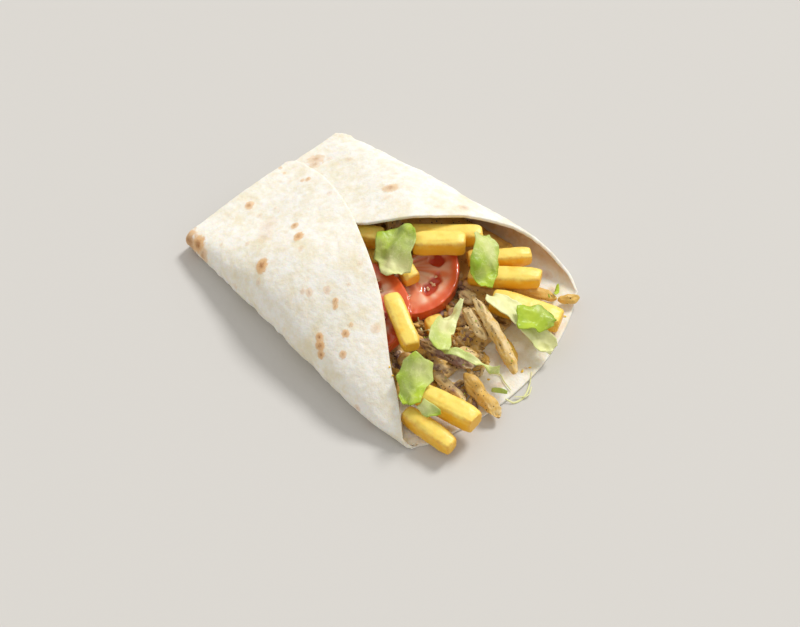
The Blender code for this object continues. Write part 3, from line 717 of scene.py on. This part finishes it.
def section(x, left):
    """The outer line of the rolled sheet at station x, for the left flap or for the right one under it."""
    height = profile(HEIGHT, x)
    waist = height * profile(WAIST, x)
    folds = profile(LEFT_FOLD, x), profile(RIGHT_FOLD, x)
    near, far = folds if left else folds[::-1]
    if not left:
        height -= profile(LAP, x)
    return outline(near, far, height, waist, min(waist, FLOOR_ROUND), profile(SQUARENESS, x))


def on_sheet(x, q):
    """Where the point (x, q) of the flat sheet goes when it is rolled. q < 0 is the left side."""
    left = q < 0
    along, side, up = section(x, left)
    y = np.interp(abs(q), along, side)
    z = np.interp(abs(q), along, up)
    wave = sum(height * math.sin(x / long + y / wide + phase) for height, long, wide, phase in WAVES)
    z += wave * smooth_step(z, *WAVES_FROM)
    return x, -y if left else y, z


def rim_point(u, rim, side):
    """(x, q) on a long edge of the flat sheet, u of the way from the closed end."""
    x = CLOSED_X + u * (rim[-1][0] - CLOSED_X)
    return np.array((x, side * profile(rim, x)))


def flat_point(u, v):
    """(x, q) on the flat sheet: u from the closed end to the tongue, v from the left edge to the right."""
    left_back, left, left_front = (rim_point(part, LEFT_RIM, -1) for part in (0, u, 1))
    right_back, right, right_front = (rim_point(part, RIGHT_RIM, 1) for part in (0, u, 1))
    angle = math.radians(TONGUE_ANGLES[0] + v * (TONGUE_ANGLES[1] - TONGUE_ANGLES[0]))
    front = np.array(TONGUE_CENTRE) + TONGUE_RADIUS * np.array((math.cos(angle), math.sin(angle)))
    back = left_back * (1 - v) + right_back * v
    corners = (1 - u) * back + u * ((1 - v) * left_front + v * right_front)
    return (1 - u) * back + u * front + (1 - v) * left + v * right - corners


def layers(x, q):
    """How many layers lie at a point of the sheet: two where the tail is folded forward over it."""
    radius = (TAIL_HALF_WIDTH**2 + TAIL**2) / (2 * TAIL)
    reach = math.hypot(x - (CLOSED_X + TAIL - radius), q - TONGUE_CENTRE[1])
    return 2 - smooth_step(reach, radius - TAIL_EDGE, radius + TAIL_EDGE)


def toast_spots():
    """The toasted spots and, scattered over the flat sheet, the small pale ones."""
    rng = random.Random(7)
    spots = list(TOAST)
    for _ in range(FRECKLES):
        x, q = flat_point(rng.random(), rng.random())
        spots.append((x, q, rng.uniform(0.7, 2.2), rng.uniform(0.08, 0.3)))
    return np.array(spots)


def unit(vectors):
    return vectors / np.linalg.norm(vectors, axis=-1, keepdims=True).clip(1e-9)


def round_corner(outer):
    """Draws in, seen from above, the corner where the right fold meets the closed end."""
    centre = np.array((CLOSED_X + BACK_CORNER, RIGHT_FOLD[0][1] - BACK_CORNER))
    offset = outer[:, :, :2] - centre
    reach = np.hypot(offset[:, :, 0], offset[:, :, 1])
    beyond = (offset[:, :, 0] < 0) & (offset[:, :, 1] > 0) & (reach > BACK_CORNER)
    outer[beyond, :2] = centre + offset[beyond] * (BACK_CORNER / reach[beyond])[:, None]


def with_round_rim(outer, inner, thick, along, across):
    """The two faces of the sheet joined by a round rim: points, faces and each rim point's grid place."""
    rows, columns = thick.shape
    count = rows * columns
    faces = []
    for i in range(rows - 1):
        for j in range(columns - 1):
            a = i * columns + j
            b, c, d = a + 1, a + columns + 1, a + columns
            faces.append((a, d, c, b))
            faces.append((count + a, count + b, count + c, count + d))
    border = [(0, j) for j in range(columns)]
    border += [(i, columns - 1) for i in range(1, rows)]
    border += [(rows - 1, j) for j in range(columns - 2, -1, -1)]
    border += [(i, 0) for i in range(rows - 2, 0, -1)]
    outwards = np.zeros_like(outer)
    outwards[0] -= along[0]
    outwards[-1] += along[-1]
    outwards[:, 0] -= across[:, 0]
    outwards[:, -1] += across[:, -1]
    extra, marks = [], []
    for i, j in border:
        out = unit(outwards[i, j])
        middle = (outer[i, j] + inner[i, j]) / 2
        half = (outer[i, j] - inner[i, j]) / 2
        reach = min(thick[i, j] / 2, RIM_REACH)
        for k in range(1, RIM_STEPS + 1):
            angle = math.pi * k / (RIM_STEPS + 1)
            extra.append(middle + half * math.cos(angle) + out * reach * math.sin(angle))
            marks.append((i, j))

    def ring(k):
        """The points round the rim at its k-th place, from the outer face to the inner one."""
        i, j = border[k % len(border)]
        start = 2 * count + k % len(border) * RIM_STEPS
        return [i * columns + j, *range(start, start + RIM_STEPS), count + i * columns + j]

    for k in range(len(border)):
        here, there = ring(k), ring(k + 1)
        faces += [(here[s], there[s], there[s + 1], here[s + 1]) for s in range(RIM_STEPS + 1)]
    return np.concatenate([outer.reshape(-1, 3), inner.reshape(-1, 3), extra]), faces, marks


def make_tortilla(size, material):
    """The rolled sheet with both its faces, a round rim, gentle waves and a blister at each toasted spot."""
    rim = size["sheet"] / 2
    flat = []
    for u in np.linspace(rim / SHEET_LENGTH, 1 - rim / SHEET_LENGTH, SHEET_ROWS):
        near_end = max(1 - min(u, 1 - u) * SHEET_LENGTH / CORNER, 0)  # 1 at either end
        inset = (rim + CORNER * (1 - math.sqrt(1 - near_end**2))) / SHEET_WIDTH
        flat.append([flat_point(u, v) for v in np.linspace(inset, 1 - inset, SHEET_COLUMNS)])
    flat = np.array(flat)
    outer = np.array([[on_sheet(x, q) for x, q in row] for row in flat])
    thick = size["sheet"] * np.array([[layers(x, q) for x, q in row] for row in flat])

    spots = toast_spots()
    gap = np.hypot(
        flat[:, :, None, 0] - spots[None, None, :, 0], flat[:, :, None, 1] - spots[None, None, :, 1]
    ) / spots[:, 2]
    closeness = SPOT_SPREAD - gap.min(axis=2)
    toast = closeness.clip(-1, 1)
    dark = spots[gap.argmin(axis=2), 3]

    round_corner(outer)
    along = unit(np.gradient(outer, axis=0))
    across = unit(np.gradient(outer, axis=1))
    normal = unit(np.cross(across, along))
    cells = outer.reshape(-1, 3)
    height = outer[:, :, 2]
    held = (height / WAVES_FROM[0]).clip(0, 1)  # the floor lies flat
    raised = size["sheet_waves"] * added_lumps(cells, SHEET_LUMPS).reshape(toast.shape) * held
    raised += size["blister"] * dark * (closeness.clip(0, 1) ** BLISTER_SHAPE) * held
    # Along its folds the sheet is creased across.
    folded = held * (1 - (height / FOLD_TOP).clip(0, 1)) * (np.abs(flat[:, :, 1]) > TAIL / 2)
    folded *= 1 - smooth_step(outer[:, :, 0], *CREASE_ENDS)
    creases = np.abs(lumps(cells * CREASE_RUN, CREASE_SIZE, CREASE_SEED)).reshape(toast.shape)
    raised -= size["crease"] * folded * creases
    outer = outer + normal * raised[:, :, None]
    inner = outer - normal * thick[:, :, None]

    points, faces, marks = with_round_rim(outer, inner, thick, along, across)
    mesh = mesh_of("look_tortilla", points, faces)
    at = tuple(np.array(marks).T)
    soaked = smooth_step(inner[:, :, 1], *SOAKED_SIDE) * smooth_step(inner[:, :, 2], *SOAKED_FLOOR)
    dry = np.zeros_like(soaked)
    for name, outside, inside in (("toast", toast, toast), ("dark", dark, dark), ("soaked", dry, soaked)):
        set_value(mesh, name, np.concatenate([outside.ravel(), inside.ravel(), outside[at]]))
    show("look_tortilla", mesh, material, "tortilla", "tortilla")


# ---- the pieces ---------------------------------------------------------------------------------------


def squared(points):
    """The points of an eight-sided stick, its cross-section made nearly square with soft corners."""
    axis, middle = long_axis(points)
    across = unit(np.cross((0, 0, 1), axis))
    up = np.cross(axis, across)
    offset = points - middle
    along, side, height = offset @ axis, offset @ across, offset @ up
    wide, high = np.abs(side) / np.abs(side).max(), np.abs(height) / np.abs(height).max()
    eight_sided = np.maximum(np.maximum(wide, high), (wide + high) / EIGHT_SIDED)
    square = (wide**SQUARE + high**SQUARE) ** (1 / SQUARE)
    grow = eight_sided / square.clip(1e-6)
    return (
        middle + np.outer(along, axis) + np.outer(side * grow, across) + np.outer(height * grow, up)
    )


def make_fry(size, name, material):
    seed = int(name[-2:])
    mesh = refined(name, size["fry_cell"], rounds=4)
    set_points(mesh, squared(form_of(mesh)[0]))
    points, normals = form_of(mesh)
    raised = size["fry_relief"] * added_lumps(points, FRY_LUMPS, seed)
    axis, middle = long_axis(points)
    along = (points - middle) @ axis
    raised += 0.5 * size["fry_taper"] * lumps(points, FRY_BEND, seed + 40)
    raised -= size["fry_taper"] * smooth_step(np.abs(along) / np.abs(along).max(), *FRY_ENDS)
    set_points(mesh, points + normals * raised[:, None])
    set_value(mesh, "crisp", (standing_out(mesh, rounds=12) / FRY_EDGE).clip(-0.3, 1))
    # How far each point faces up: with it, the fry's top is painted paler, as sheen.
    set_value(mesh, "upper", normals[:, 2].clip(0, 1))
    show("look_" + name, mesh, material, "fry", name)


def cut_flat(points, axis, count, seed):
    """Points beyond a few planes along a piece are brought back on to them, as by a knife."""
    rng = random.Random(seed)
    middle = points.mean(axis=0)
    for _ in range(count):
        direction = np.array([rng.uniform(-1, 1) for _ in range(3)])
        direction = unit(direction - CUTS_ALONG * axis * (direction @ axis))
        beyond = (points - middle) @ direction
        excess = (beyond - rng.uniform(*CUT_PLACES) * beyond.max()).clip(0)
        points = points - np.outer(excess, direction)
    return points


def torn(mesh, relief, seed):
    """Gives a piece of chicken its cut faces, lumps and fibres."""
    points, _ = form_of(mesh)
    axis, middle = long_axis(points)
    set_points(mesh, cut_flat(points, axis, CUTS, seed))
    points, normals = form_of(mesh)
    along = (points - middle) @ axis
    squeezed = points - along[:, None] * axis * FIBRES_ALONG
    raised = added_lumps(points, STRIP_LUMPS, seed)
    for share, ridge, across, own in FURROWS:
        raised += share * (ridge - FURROW_DEPTH * np.abs(lumps(squeezed, across, seed + own)))
    set_points(mesh, points + normals * (relief * raised)[:, None])


def make_strip(size, name, material):
    mesh = refined(name, size["chicken_cell"], rounds=3)
    torn(mesh, size["chicken_relief"], int(name[-2:]))
    gold, lean, sear = TONES[name]
    # Hollows are painted darker as shade, and the strip's own sear is added to that.
    set_value(mesh, "shade_and_sear", (-standing_out(mesh, rounds=8) / STRIP_HOLLOW).clip(-0.4, 0.6) + sear)
    for mark, value in (("gold", gold), ("lean", lean)):
        set_value(mesh, mark, np.full(len(mesh.vertices), value))
    show("look_" + name, mesh, material, "chicken", name)


def make_filling(size, material):
    mesh = refined("filling", size["filling_cell"], rounds=2)
    points, normals = form_of(mesh)
    upper = normals[:, 2].clip(0, 1)
    raised = size["filling_relief"] * (added_lumps(points, FILLING_LUMPS) - 0.25) * upper
    set_points(mesh, points + normals * raised[:, None])
    # Towards the right flap the filling is painted gold and less grey, like the amber fries seen there, and
    # lighter as painted light where the flap shades it.
    gold_and_painted_light = smooth_step(points[:, 1], *FLAP_SIDE_PAINTED_LIGHT)
    # Hollows are painted darker as shade, except towards the right flap, where that shade is taken out.
    set_value(mesh, "shade_and_sear", (-standing_out(mesh, rounds=8) / FILLING_HOLLOW).clip(-0.4, 0.8) - 0.7 * gold_and_painted_light)
    set_value(mesh, "gold", 0.5 * gold_and_painted_light)
    set_value(mesh, "lean", -0.4 * gold_and_painted_light)
    show("look_filling", mesh, material, "filling", "filling")


def turned(degrees, axis):
    return Matrix.Rotation(math.radians(degrees), 3, axis)


def make_tomato(size, name, material):
    x, y, heading, lean, towards, radius = TOMATOES[name]
    turn = np.array(turned(towards, "Z") @ turned(lean, "Y") @ turned(heading - towards, "Z"))
    mesh = refined(name, size["tomato_cell"], rounds=2)
    points, normals = form_of(mesh)
    local = (points - np.array((x, y, 0))) @ turn
    height = local[:, 2] - (local[:, 2].max() + local[:, 2].min()) / 2
    away = np.hypot(local[:, 0], local[:, 1]) / radius
    angle = np.arctan2(local[:, 1], local[:, 0])
    on_face = np.abs(height) > SLICE_FACE * (height.max() - height.min())
    ragged = 0.5 * lumps(points, 4, 9)
    pocket = np.zeros(len(points))
    for middle, spread, out, width in POCKETS:
        off = np.hypot((np.degrees(angle) - middle) / spread, (away - out) / width) + ragged
        pocket = np.maximum(pocket, ((POCKET_END - off) / POCKET_FADE).clip(0, 1))
    pocket *= on_face
    flutes = np.array([
        noise.noise(Vector((FLUTES[0] * round_it, FLUTES[1] * outwards, 0.5)))
        for round_it, outwards in zip(angle, away)
    ])
    streak = (0.45 + 1.1 * flutes).clip(0, 0.95) * ((0.9 - away) / 0.1).clip(0, 1)
    raised = 0.25 * lumps(points, 3, 11) - POCKET_DEPTH * pocket + 0.25 * flutes
    set_points(mesh, points + normals * raised[:, None])
    for mark, values in (("rim", away), ("pocket", pocket), ("streak", streak)):
        set_value(mesh, mark, values)
    show("look_" + name, mesh, material, "tomato", name)


def make_seeds(material):
    """Seeds lying in the slices' pockets of jelly."""
    rng = random.Random(51)
    spots = []
    for x, y, heading, _, _, radius in TOMATOES.values():
        for middle, spread, out, width in POCKETS:
            for _ in range(POCKET_SEEDS):
                angle = math.radians(heading + middle + SEED_SPREAD * rng.uniform(-spread, spread))
                away = radius * (out + SEED_SPREAD * rng.uniform(-width, width))
                spot_x, spot_y = x + away * math.cos(angle), y + away * math.sin(angle)
                spots.append((spot_x, spot_x, spot_y, spot_y))

    def seed_shape(seed):
        return lump_of(rng, rng.uniform(1.8, 2.6), rng.uniform(1.2, 1.6), 0.8, seed)

    points, faces = scattered(rng, SEEDS, spots, ("tomato",), seed_shape, SEED_SUNK)
    show("look_seeds", mesh_of("look_seeds", points, faces), material, "tomato")


def make_leaf(size, name, material):
    """A leaf from its solid's upper face: finer, rippled towards its edge, and thin."""
    x, y, heading, length, width, pale = LEAVES[name]
    seed = int(name[-2:])
    bm = solid_copy(name)
    bm.normal_update()
    lower = [face for face in bm.faces if face.normal.z < LEAF_UPPER]
    bmesh.ops.delete(bm, geom=lower, context="FACES")
    bmesh.ops.join_triangles(
        bm, faces=bm.faces, angle_face_threshold=ANY_ANGLE, angle_shape_threshold=ANY_ANGLE
    )
    bmesh.ops.subdivide_edges(bm, edges=bm.edges, cuts=LEAF_CUTS, use_grid_fill=True, smooth=0.6)
    mesh = bpy.data.meshes.new("look_" + name)
    bm.to_mesh(mesh)
    bm.free()
    points, normals = form_of(mesh)
    turn = math.radians(heading)
    offset = points[:, :2] - (x, y)
    along = (offset[:, 0] * math.cos(turn) + offset[:, 1] * math.sin(turn)) * 2 / length
    across = (offset[:, 1] * math.cos(turn) - offset[:, 0] * math.sin(turn)) * 2 / width
    edge = np.maximum(np.abs(along), np.abs(across)).clip(0, 1)
    raised = size["frill"] * (
        lumps(points, LEAF_RIPPLE, seed) * (0.4 + edge**2)
        + 0.5 * lumps(points, LEAF_CRIMP, seed + 60) * edge**2
    )
    set_points(mesh, points + normals * raised[:, None])
    side = along if seed % 2 else -along
    clouds = 0.5 * lumps(points, LEAF_RIPPLE, seed + 30)
    set_value(mesh, "pale", pale + 0.3 * side + clouds - 0.25 * edge**4)
    obj = show("look_" + name, mesh, material, "lettuce", name)
    solidify = obj.modifiers.new("Thickness", "SOLIDIFY")
    solidify.thickness = size["leaf"] * MM
    solidify.offset = -1


def smooth_way(corners, step):
    """Places on a smooth curve through corners, about a step apart."""
    keys = np.array(corners, float)
    at = np.concatenate([[0], np.cumsum(np.linalg.norm(np.diff(keys, axis=0), axis=1))])
    places = np.linspace(0, at[-1], max(int(at[-1] / step), 2) + 1)
    return np.stack(
        [[profile(list(zip(at, keys[:, axis])), place) for place in places] for axis in range(2)], axis=1
    )


def make_strands(material):
    """Thin shreds of lettuce laid over the pieces."""
    rng = random.Random(5)
    heap = Heap()
    points, faces, pale = [], [], []
    for paleness, width, depth, lift, corners in STRANDS:
        way = smooth_way(corners, STRAND_STEP)
        heights = np.array([heap.top(x, y)[1] for x, y in way]) + lift
        padded = np.pad(heights, STRAND_EASE, mode="edge")
        heights = np.array([padded[k : k + 2 * STRAND_EASE + 1].mean() for k in range(len(heights))])
        line = np.column_stack([way, np.maximum(heights, depth)])
        forward = unit(np.gradient(line, axis=0))
        twist = rng.uniform(-0.5, 0.5) + np.linspace(0, rng.uniform(-1.5, 1.5), len(line))
        flat_side = unit(np.cross((0, 0, 1), forward))
        over = np.cross(forward, flat_side)
        side = flat_side * np.cos(twist)[:, None] + over * np.sin(twist)[:, None]
        over = np.cross(forward, side)
        size = np.sin(np.linspace(STRAND_TIP, math.pi - STRAND_TIP, len(line))) ** 0.4
        start = sum(len(part) for part in points)
        for k in range(STRAND_SIDES):
            angle = 2 * math.pi * k / STRAND_SIDES
            reach = width / 2 * math.cos(angle) * side + depth / 2 * math.sin(angle) * over
            points.append(line + reach * size[:, None])
        count = len(line)
        for k in range(STRAND_SIDES):
            here, there = start + k * count, start + (k + 1) % STRAND_SIDES * count
            faces += [(here + i, there + i, there + i + 1, here + i + 1) for i in range(count - 1)]
        faces.append(tuple(start + k * count for k in reversed(range(STRAND_SIDES))))
        faces.append(tuple(start + k * count + count - 1 for k in range(STRAND_SIDES)))
        pale += [paleness] * count * STRAND_SIDES
    mesh = mesh_of("look_strands", np.concatenate(points), faces)
    set_value(mesh, "pale", pale)
    show("look_strands", mesh, material, "lettuce")


def make_herbs(material):
    """Flecks of chopped herb on the chicken."""
    rng = random.Random(21)

    def fleck(seed):
        return lump_of(rng, rng.uniform(0.8, 1.8), rng.uniform(0.4, 0.8), 0.3, seed)

    points, faces = scattered(rng, HERBS, FLECK_PLACES, ("strip", "filling"), fleck)
    mesh = mesh_of("look_herbs", points, faces)
    shades = [rng.uniform(-0.4, 0.2) for _ in range(len(points) // LUMP_POINTS)]
    set_value(mesh, "pale", np.repeat(shades, LUMP_POINTS))
    show("look_herbs", mesh, material, "lettuce")


def make_crumbs(material):
    """Crumbs of fried potato."""
    rng = random.Random(31)

    def crumb(seed):
        size = rng.uniform(0.6, 1.3)
        return lump_of(rng, size * 1.4, size, size * 0.7, seed)

    points, faces = scattered(rng, CRUMBS, FLECK_PLACES, ("tortilla",), crumb)
    mesh = mesh_of("look_crumbs", points, faces)
    for mark in ("crisp", "upper"):
        set_value(mesh, mark, np.full(len(points), CRUMB_CRUST))
    show("look_crumbs", mesh, material, "fry")


class Heap:
    """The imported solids, as the height and the name of what lies on top at any place."""

    def __init__(self):
        self.trees = {}
        for name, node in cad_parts.items():
            points = [vertex.co / MM for vertex in node.data.vertices]
            faces = [tuple(face.vertices) for face in node.data.polygons]
            self.trees[name] = BVHTree.FromPolygons(points, faces)

    def top(self, x, y):
        """(name, height, normal) of the highest solid at a place."""
        found = [(None, 0.0, Vector((0, 0, 1)))]
        for name, tree in self.trees.items():
            hit, normal, _, _ = tree.ray_cast(Vector((x, y, HIGH)), Vector((0, 0, -1)))
            if hit is not None:
                found.append((name, hit.z, normal))
        return max(found, key=lambda item: item[1])


def lump_of(rng, length, width, depth, seed):
    """The points of a small cut lump about its own middle, and its faces."""
    bm = bmesh.new()
    bmesh.ops.create_icosphere(bm, subdivisions=3, radius=0.5)
    points = np.array([vertex.co for vertex in bm.verts]) * (length, width, depth)
    faces = [tuple(vertex.index for vertex in face.verts) for face in bm.faces]
    bm.free()
    points = cut_flat(points, np.array((1.0, 0, 0)), LUMP_CUTS, seed)
    raised = LUMP_RELIEF * width * lumps(points, 0.7 * width, seed)
    return points + unit(points) * raised[:, None], faces


def scattered(rng, count, boxes, wanted, make, sunk=0):
    """Points and faces of small things from make(seed), laid where one of the wanted solids is on top."""
    heap = Heap()
    points, faces, start, laid = [], [], 0, 0
    for seed in range(count * TRIES):
        x_low, x_high, y_low, y_high = rng.choice(boxes)
        x, y = rng.uniform(x_low, x_high), rng.uniform(y_low, y_high)
        name, z, normal = heap.top(x, y)
        if name is None or not name.startswith(wanted) or normal.z < TOO_STEEP:
            continue
        shape, its_faces = make(seed)
        turn = Vector((0, 0, 1)).rotation_difference(normal).to_matrix()
        turn = turn @ Matrix.Rotation(rng.uniform(-math.pi, math.pi), 3, "Z")
        turn = turn @ Matrix.Rotation(rng.gauss(0, TILT), 3, "Y")
        placed = shape @ np.array(turn).T
        lift = RESTING * (placed[:, 2].max() - placed[:, 2].min())
        points.append(placed + (x, y, z + lift - sunk))
        faces += [tuple(start + k for k in face) for face in its_faces]
        start += len(shape)
        laid += 1
        if laid == count:
            break
    return np.concatenate(points), faces


def make_bits(size, material):
    """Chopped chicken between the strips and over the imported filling."""
    rng = random.Random(11)
    chop = size["chop"]

    def bit(seed):
        length = chop * rng.uniform(0.7, 2.2)
        return lump_of(rng, length, chop * rng.uniform(0.45, 0.85), chop * rng.uniform(0.35, 0.7), seed)

    points, faces = scattered(rng, BITS, BIT_PLACES, ("filling",), bit)
    more, more_faces = scattered(rng, LOOSE_BITS, LOOSE_PLACES, ("tortilla",), bit)
    faces += [tuple(len(points) + k for k in face) for face in more_faces]
    points = np.concatenate([points, more])
    mesh = mesh_of("look_bits", points, faces)
    shades = [rng.uniform(-0.25, 0.3) for _ in range(len(points) // LUMP_POINTS)]
    set_value(mesh, "shade_and_sear", np.repeat(shades, LUMP_POINTS))
    shades = [rng.uniform(-0.2, 0.2) for _ in shades]
    set_value(mesh, "gold", np.repeat(shades, LUMP_POINTS))
    set_value(mesh, "lean", np.repeat([-shade for shade in shades], LUMP_POINTS))
    show("look_bits", mesh, material, "chicken")


# ---- the stage ----------------------------------------------------------------------------------------


def make_stage(material):
    corners = [(x * FLOOR_SPAN, y * FLOOR_SPAN, 0) for x, y in ((-1, -1), (1, -1), (1, 1), (-1, 1))]
    mesh = bpy.data.meshes.new("floor")
    mesh.from_pydata(corners, [], [(0, 1, 2, 3)])
    mesh.materials.append(material)
    floor = bpy.data.objects.new("floor", mesh)
    bpy.context.scene.collection.objects.link(floor)

    sun = bpy.data.lights.new("window", "SUN")
    sun.energy = SUN_STRENGTH
    sun.angle = math.radians(SUN_SPREAD)
    lamp = bpy.data.objects.new("window", sun)
    lamp.rotation_euler = Vector(SUN_FROM).to_track_quat("Z", "Y").to_euler()
    bpy.context.scene.collection.objects.link(lamp)

    world = bpy.data.worlds.new("room")
    world.use_nodes = True
    background = world.node_tree.nodes["Background"]
    background.inputs["Color"].default_value = ROOM_TINT
    background.inputs["Strength"].default_value = ROOM_STRENGTH
    bpy.context.scene.world = world
    bpy.context.scene.view_settings.view_transform = "Standard"

    turn, rise = math.radians(VIEW_TURN), math.radians(VIEW_RISE)
    towards = Vector((
        math.cos(rise) * math.cos(turn), math.cos(rise) * math.sin(turn), math.sin(rise)
    ))
    camera = bpy.data.objects.new("camera", bpy.data.cameras.new("camera"))
    camera.data.lens = VIEW_LENS
    camera.location = (Vector(VIEW_TARGET) + towards * VIEW_DISTANCE) * MM
    rolled = towards.to_track_quat("Z", "Y").to_matrix() @ turned(VIEW_ROLL, "Z")
    camera.rotation_euler = rolled.to_euler()
    bpy.context.scene.collection.objects.link(camera)
    bpy.context.scene.camera = camera


# ---- the add-on ---------------------------------------------------------------------------------------


class WRAP_OT_tortilla(bpy.types.Operator):
    """Build the rolled tortilla"""

    bl_idname = "wrap.tortilla"
    bl_label = "Tortilla"

    def execute(self, context):
        make_tortilla(sizes(), tortilla_material(colours()))
        return {"FINISHED"}


class WRAP_OT_fries(bpy.types.Operator):
    """Build the fries"""

    bl_idname = "wrap.fries"
    bl_label = "Fries"

    def execute(self, context):
        material = fry_material(colours())
        for name in solids("fry_"):
            make_fry(sizes(), name, material)
        return {"FINISHED"}


class WRAP_OT_chicken(bpy.types.Operator):
    """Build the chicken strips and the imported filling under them"""

    bl_idname = "wrap.chicken"
    bl_label = "Chicken and filling"

    def execute(self, context):
        material = chicken_material(colours(), "fried_chicken", 0.15)
        for name in solids("strip_"):
            make_strip(sizes(), name, material)
        make_filling(sizes(), chicken_material(colours(), "chicken_in_sauce", 0.5))
        make_bits(sizes(), material)
        return {"FINISHED"}


class WRAP_OT_tomatoes(bpy.types.Operator):
    """Build the tomato slices"""

    bl_idname = "wrap.tomatoes"
    bl_label = "Tomatoes"

    def execute(self, context):
        material = tomato_material(colours())
        for name in TOMATOES:
            make_tomato(sizes(), name, material)
        make_seeds(seed_material(colours()))
        return {"FINISHED"}


class WRAP_OT_lettuce(bpy.types.Operator):
    """Build the torn lettuce"""

    bl_idname = "wrap.lettuce"
    bl_label = "Lettuce"

    def execute(self, context):
        material = lettuce_material(colours())
        for name in LEAVES:
            make_leaf(sizes(), name, material)
        return {"FINISHED"}


class WRAP_OT_garnish(bpy.types.Operator):
    """Lay the thin shreds, the herbs and the crumbs"""

    bl_idname = "wrap.garnish"
    bl_label = "Shreds, herbs and crumbs"

    def execute(self, context):
        leaf = lettuce_material(colours())
        make_strands(leaf)
        make_herbs(leaf)
        make_crumbs(fry_material(colours()))
        return {"FINISHED"}


class WRAP_OT_stage(bpy.types.Operator):
    """Set up the floor, the light and the camera"""

    bl_idname = "wrap.stage"
    bl_label = "Stage"

    def execute(self, context):
        make_stage(floor_material(colours()))
        return {"FINISHED"}


STEPS = (
    WRAP_OT_tortilla, WRAP_OT_fries, WRAP_OT_chicken, WRAP_OT_tomatoes, WRAP_OT_lettuce,
    WRAP_OT_garnish, WRAP_OT_stage,
)


class WRAP_PT_panel(bpy.types.Panel):
    bl_idname = "WRAP_PT_panel"
    bl_label = "Wrap"
    bl_space_type = "VIEW_3D"
    bl_region_type = "UI"
    bl_category = "Wrap"

    def draw(self, context):
        for step in STEPS:
            self.layout.operator(step.bl_idname)
        for group, kind in ((context.scene.wrap_sizes, WrapSizes), (context.scene.wrap_colours, WrapColours)):
            column = self.layout.column()
            for name in kind.__annotations__:
                column.prop(group, name)


CLASSES = (WrapSizes, WrapColours, *STEPS, WRAP_PT_panel)


def register():
    for kind in CLASSES:
        bpy.utils.register_class(kind)
    bpy.types.Scene.wrap_sizes = bpy.props.PointerProperty(type=WrapSizes)
    bpy.types.Scene.wrap_colours = bpy.props.PointerProperty(type=WrapColours)


def unregister():
    del bpy.types.Scene.wrap_colours
    del bpy.types.Scene.wrap_sizes
    for kind in reversed(CLASSES):
        bpy.utils.unregister_class(kind)


def main():
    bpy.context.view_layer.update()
    register()
    for step in STEPS:
        group, action = step.bl_idname.split(".")
        getattr(getattr(bpy.ops, group), action)()


if __name__ == "__main__":
    main()
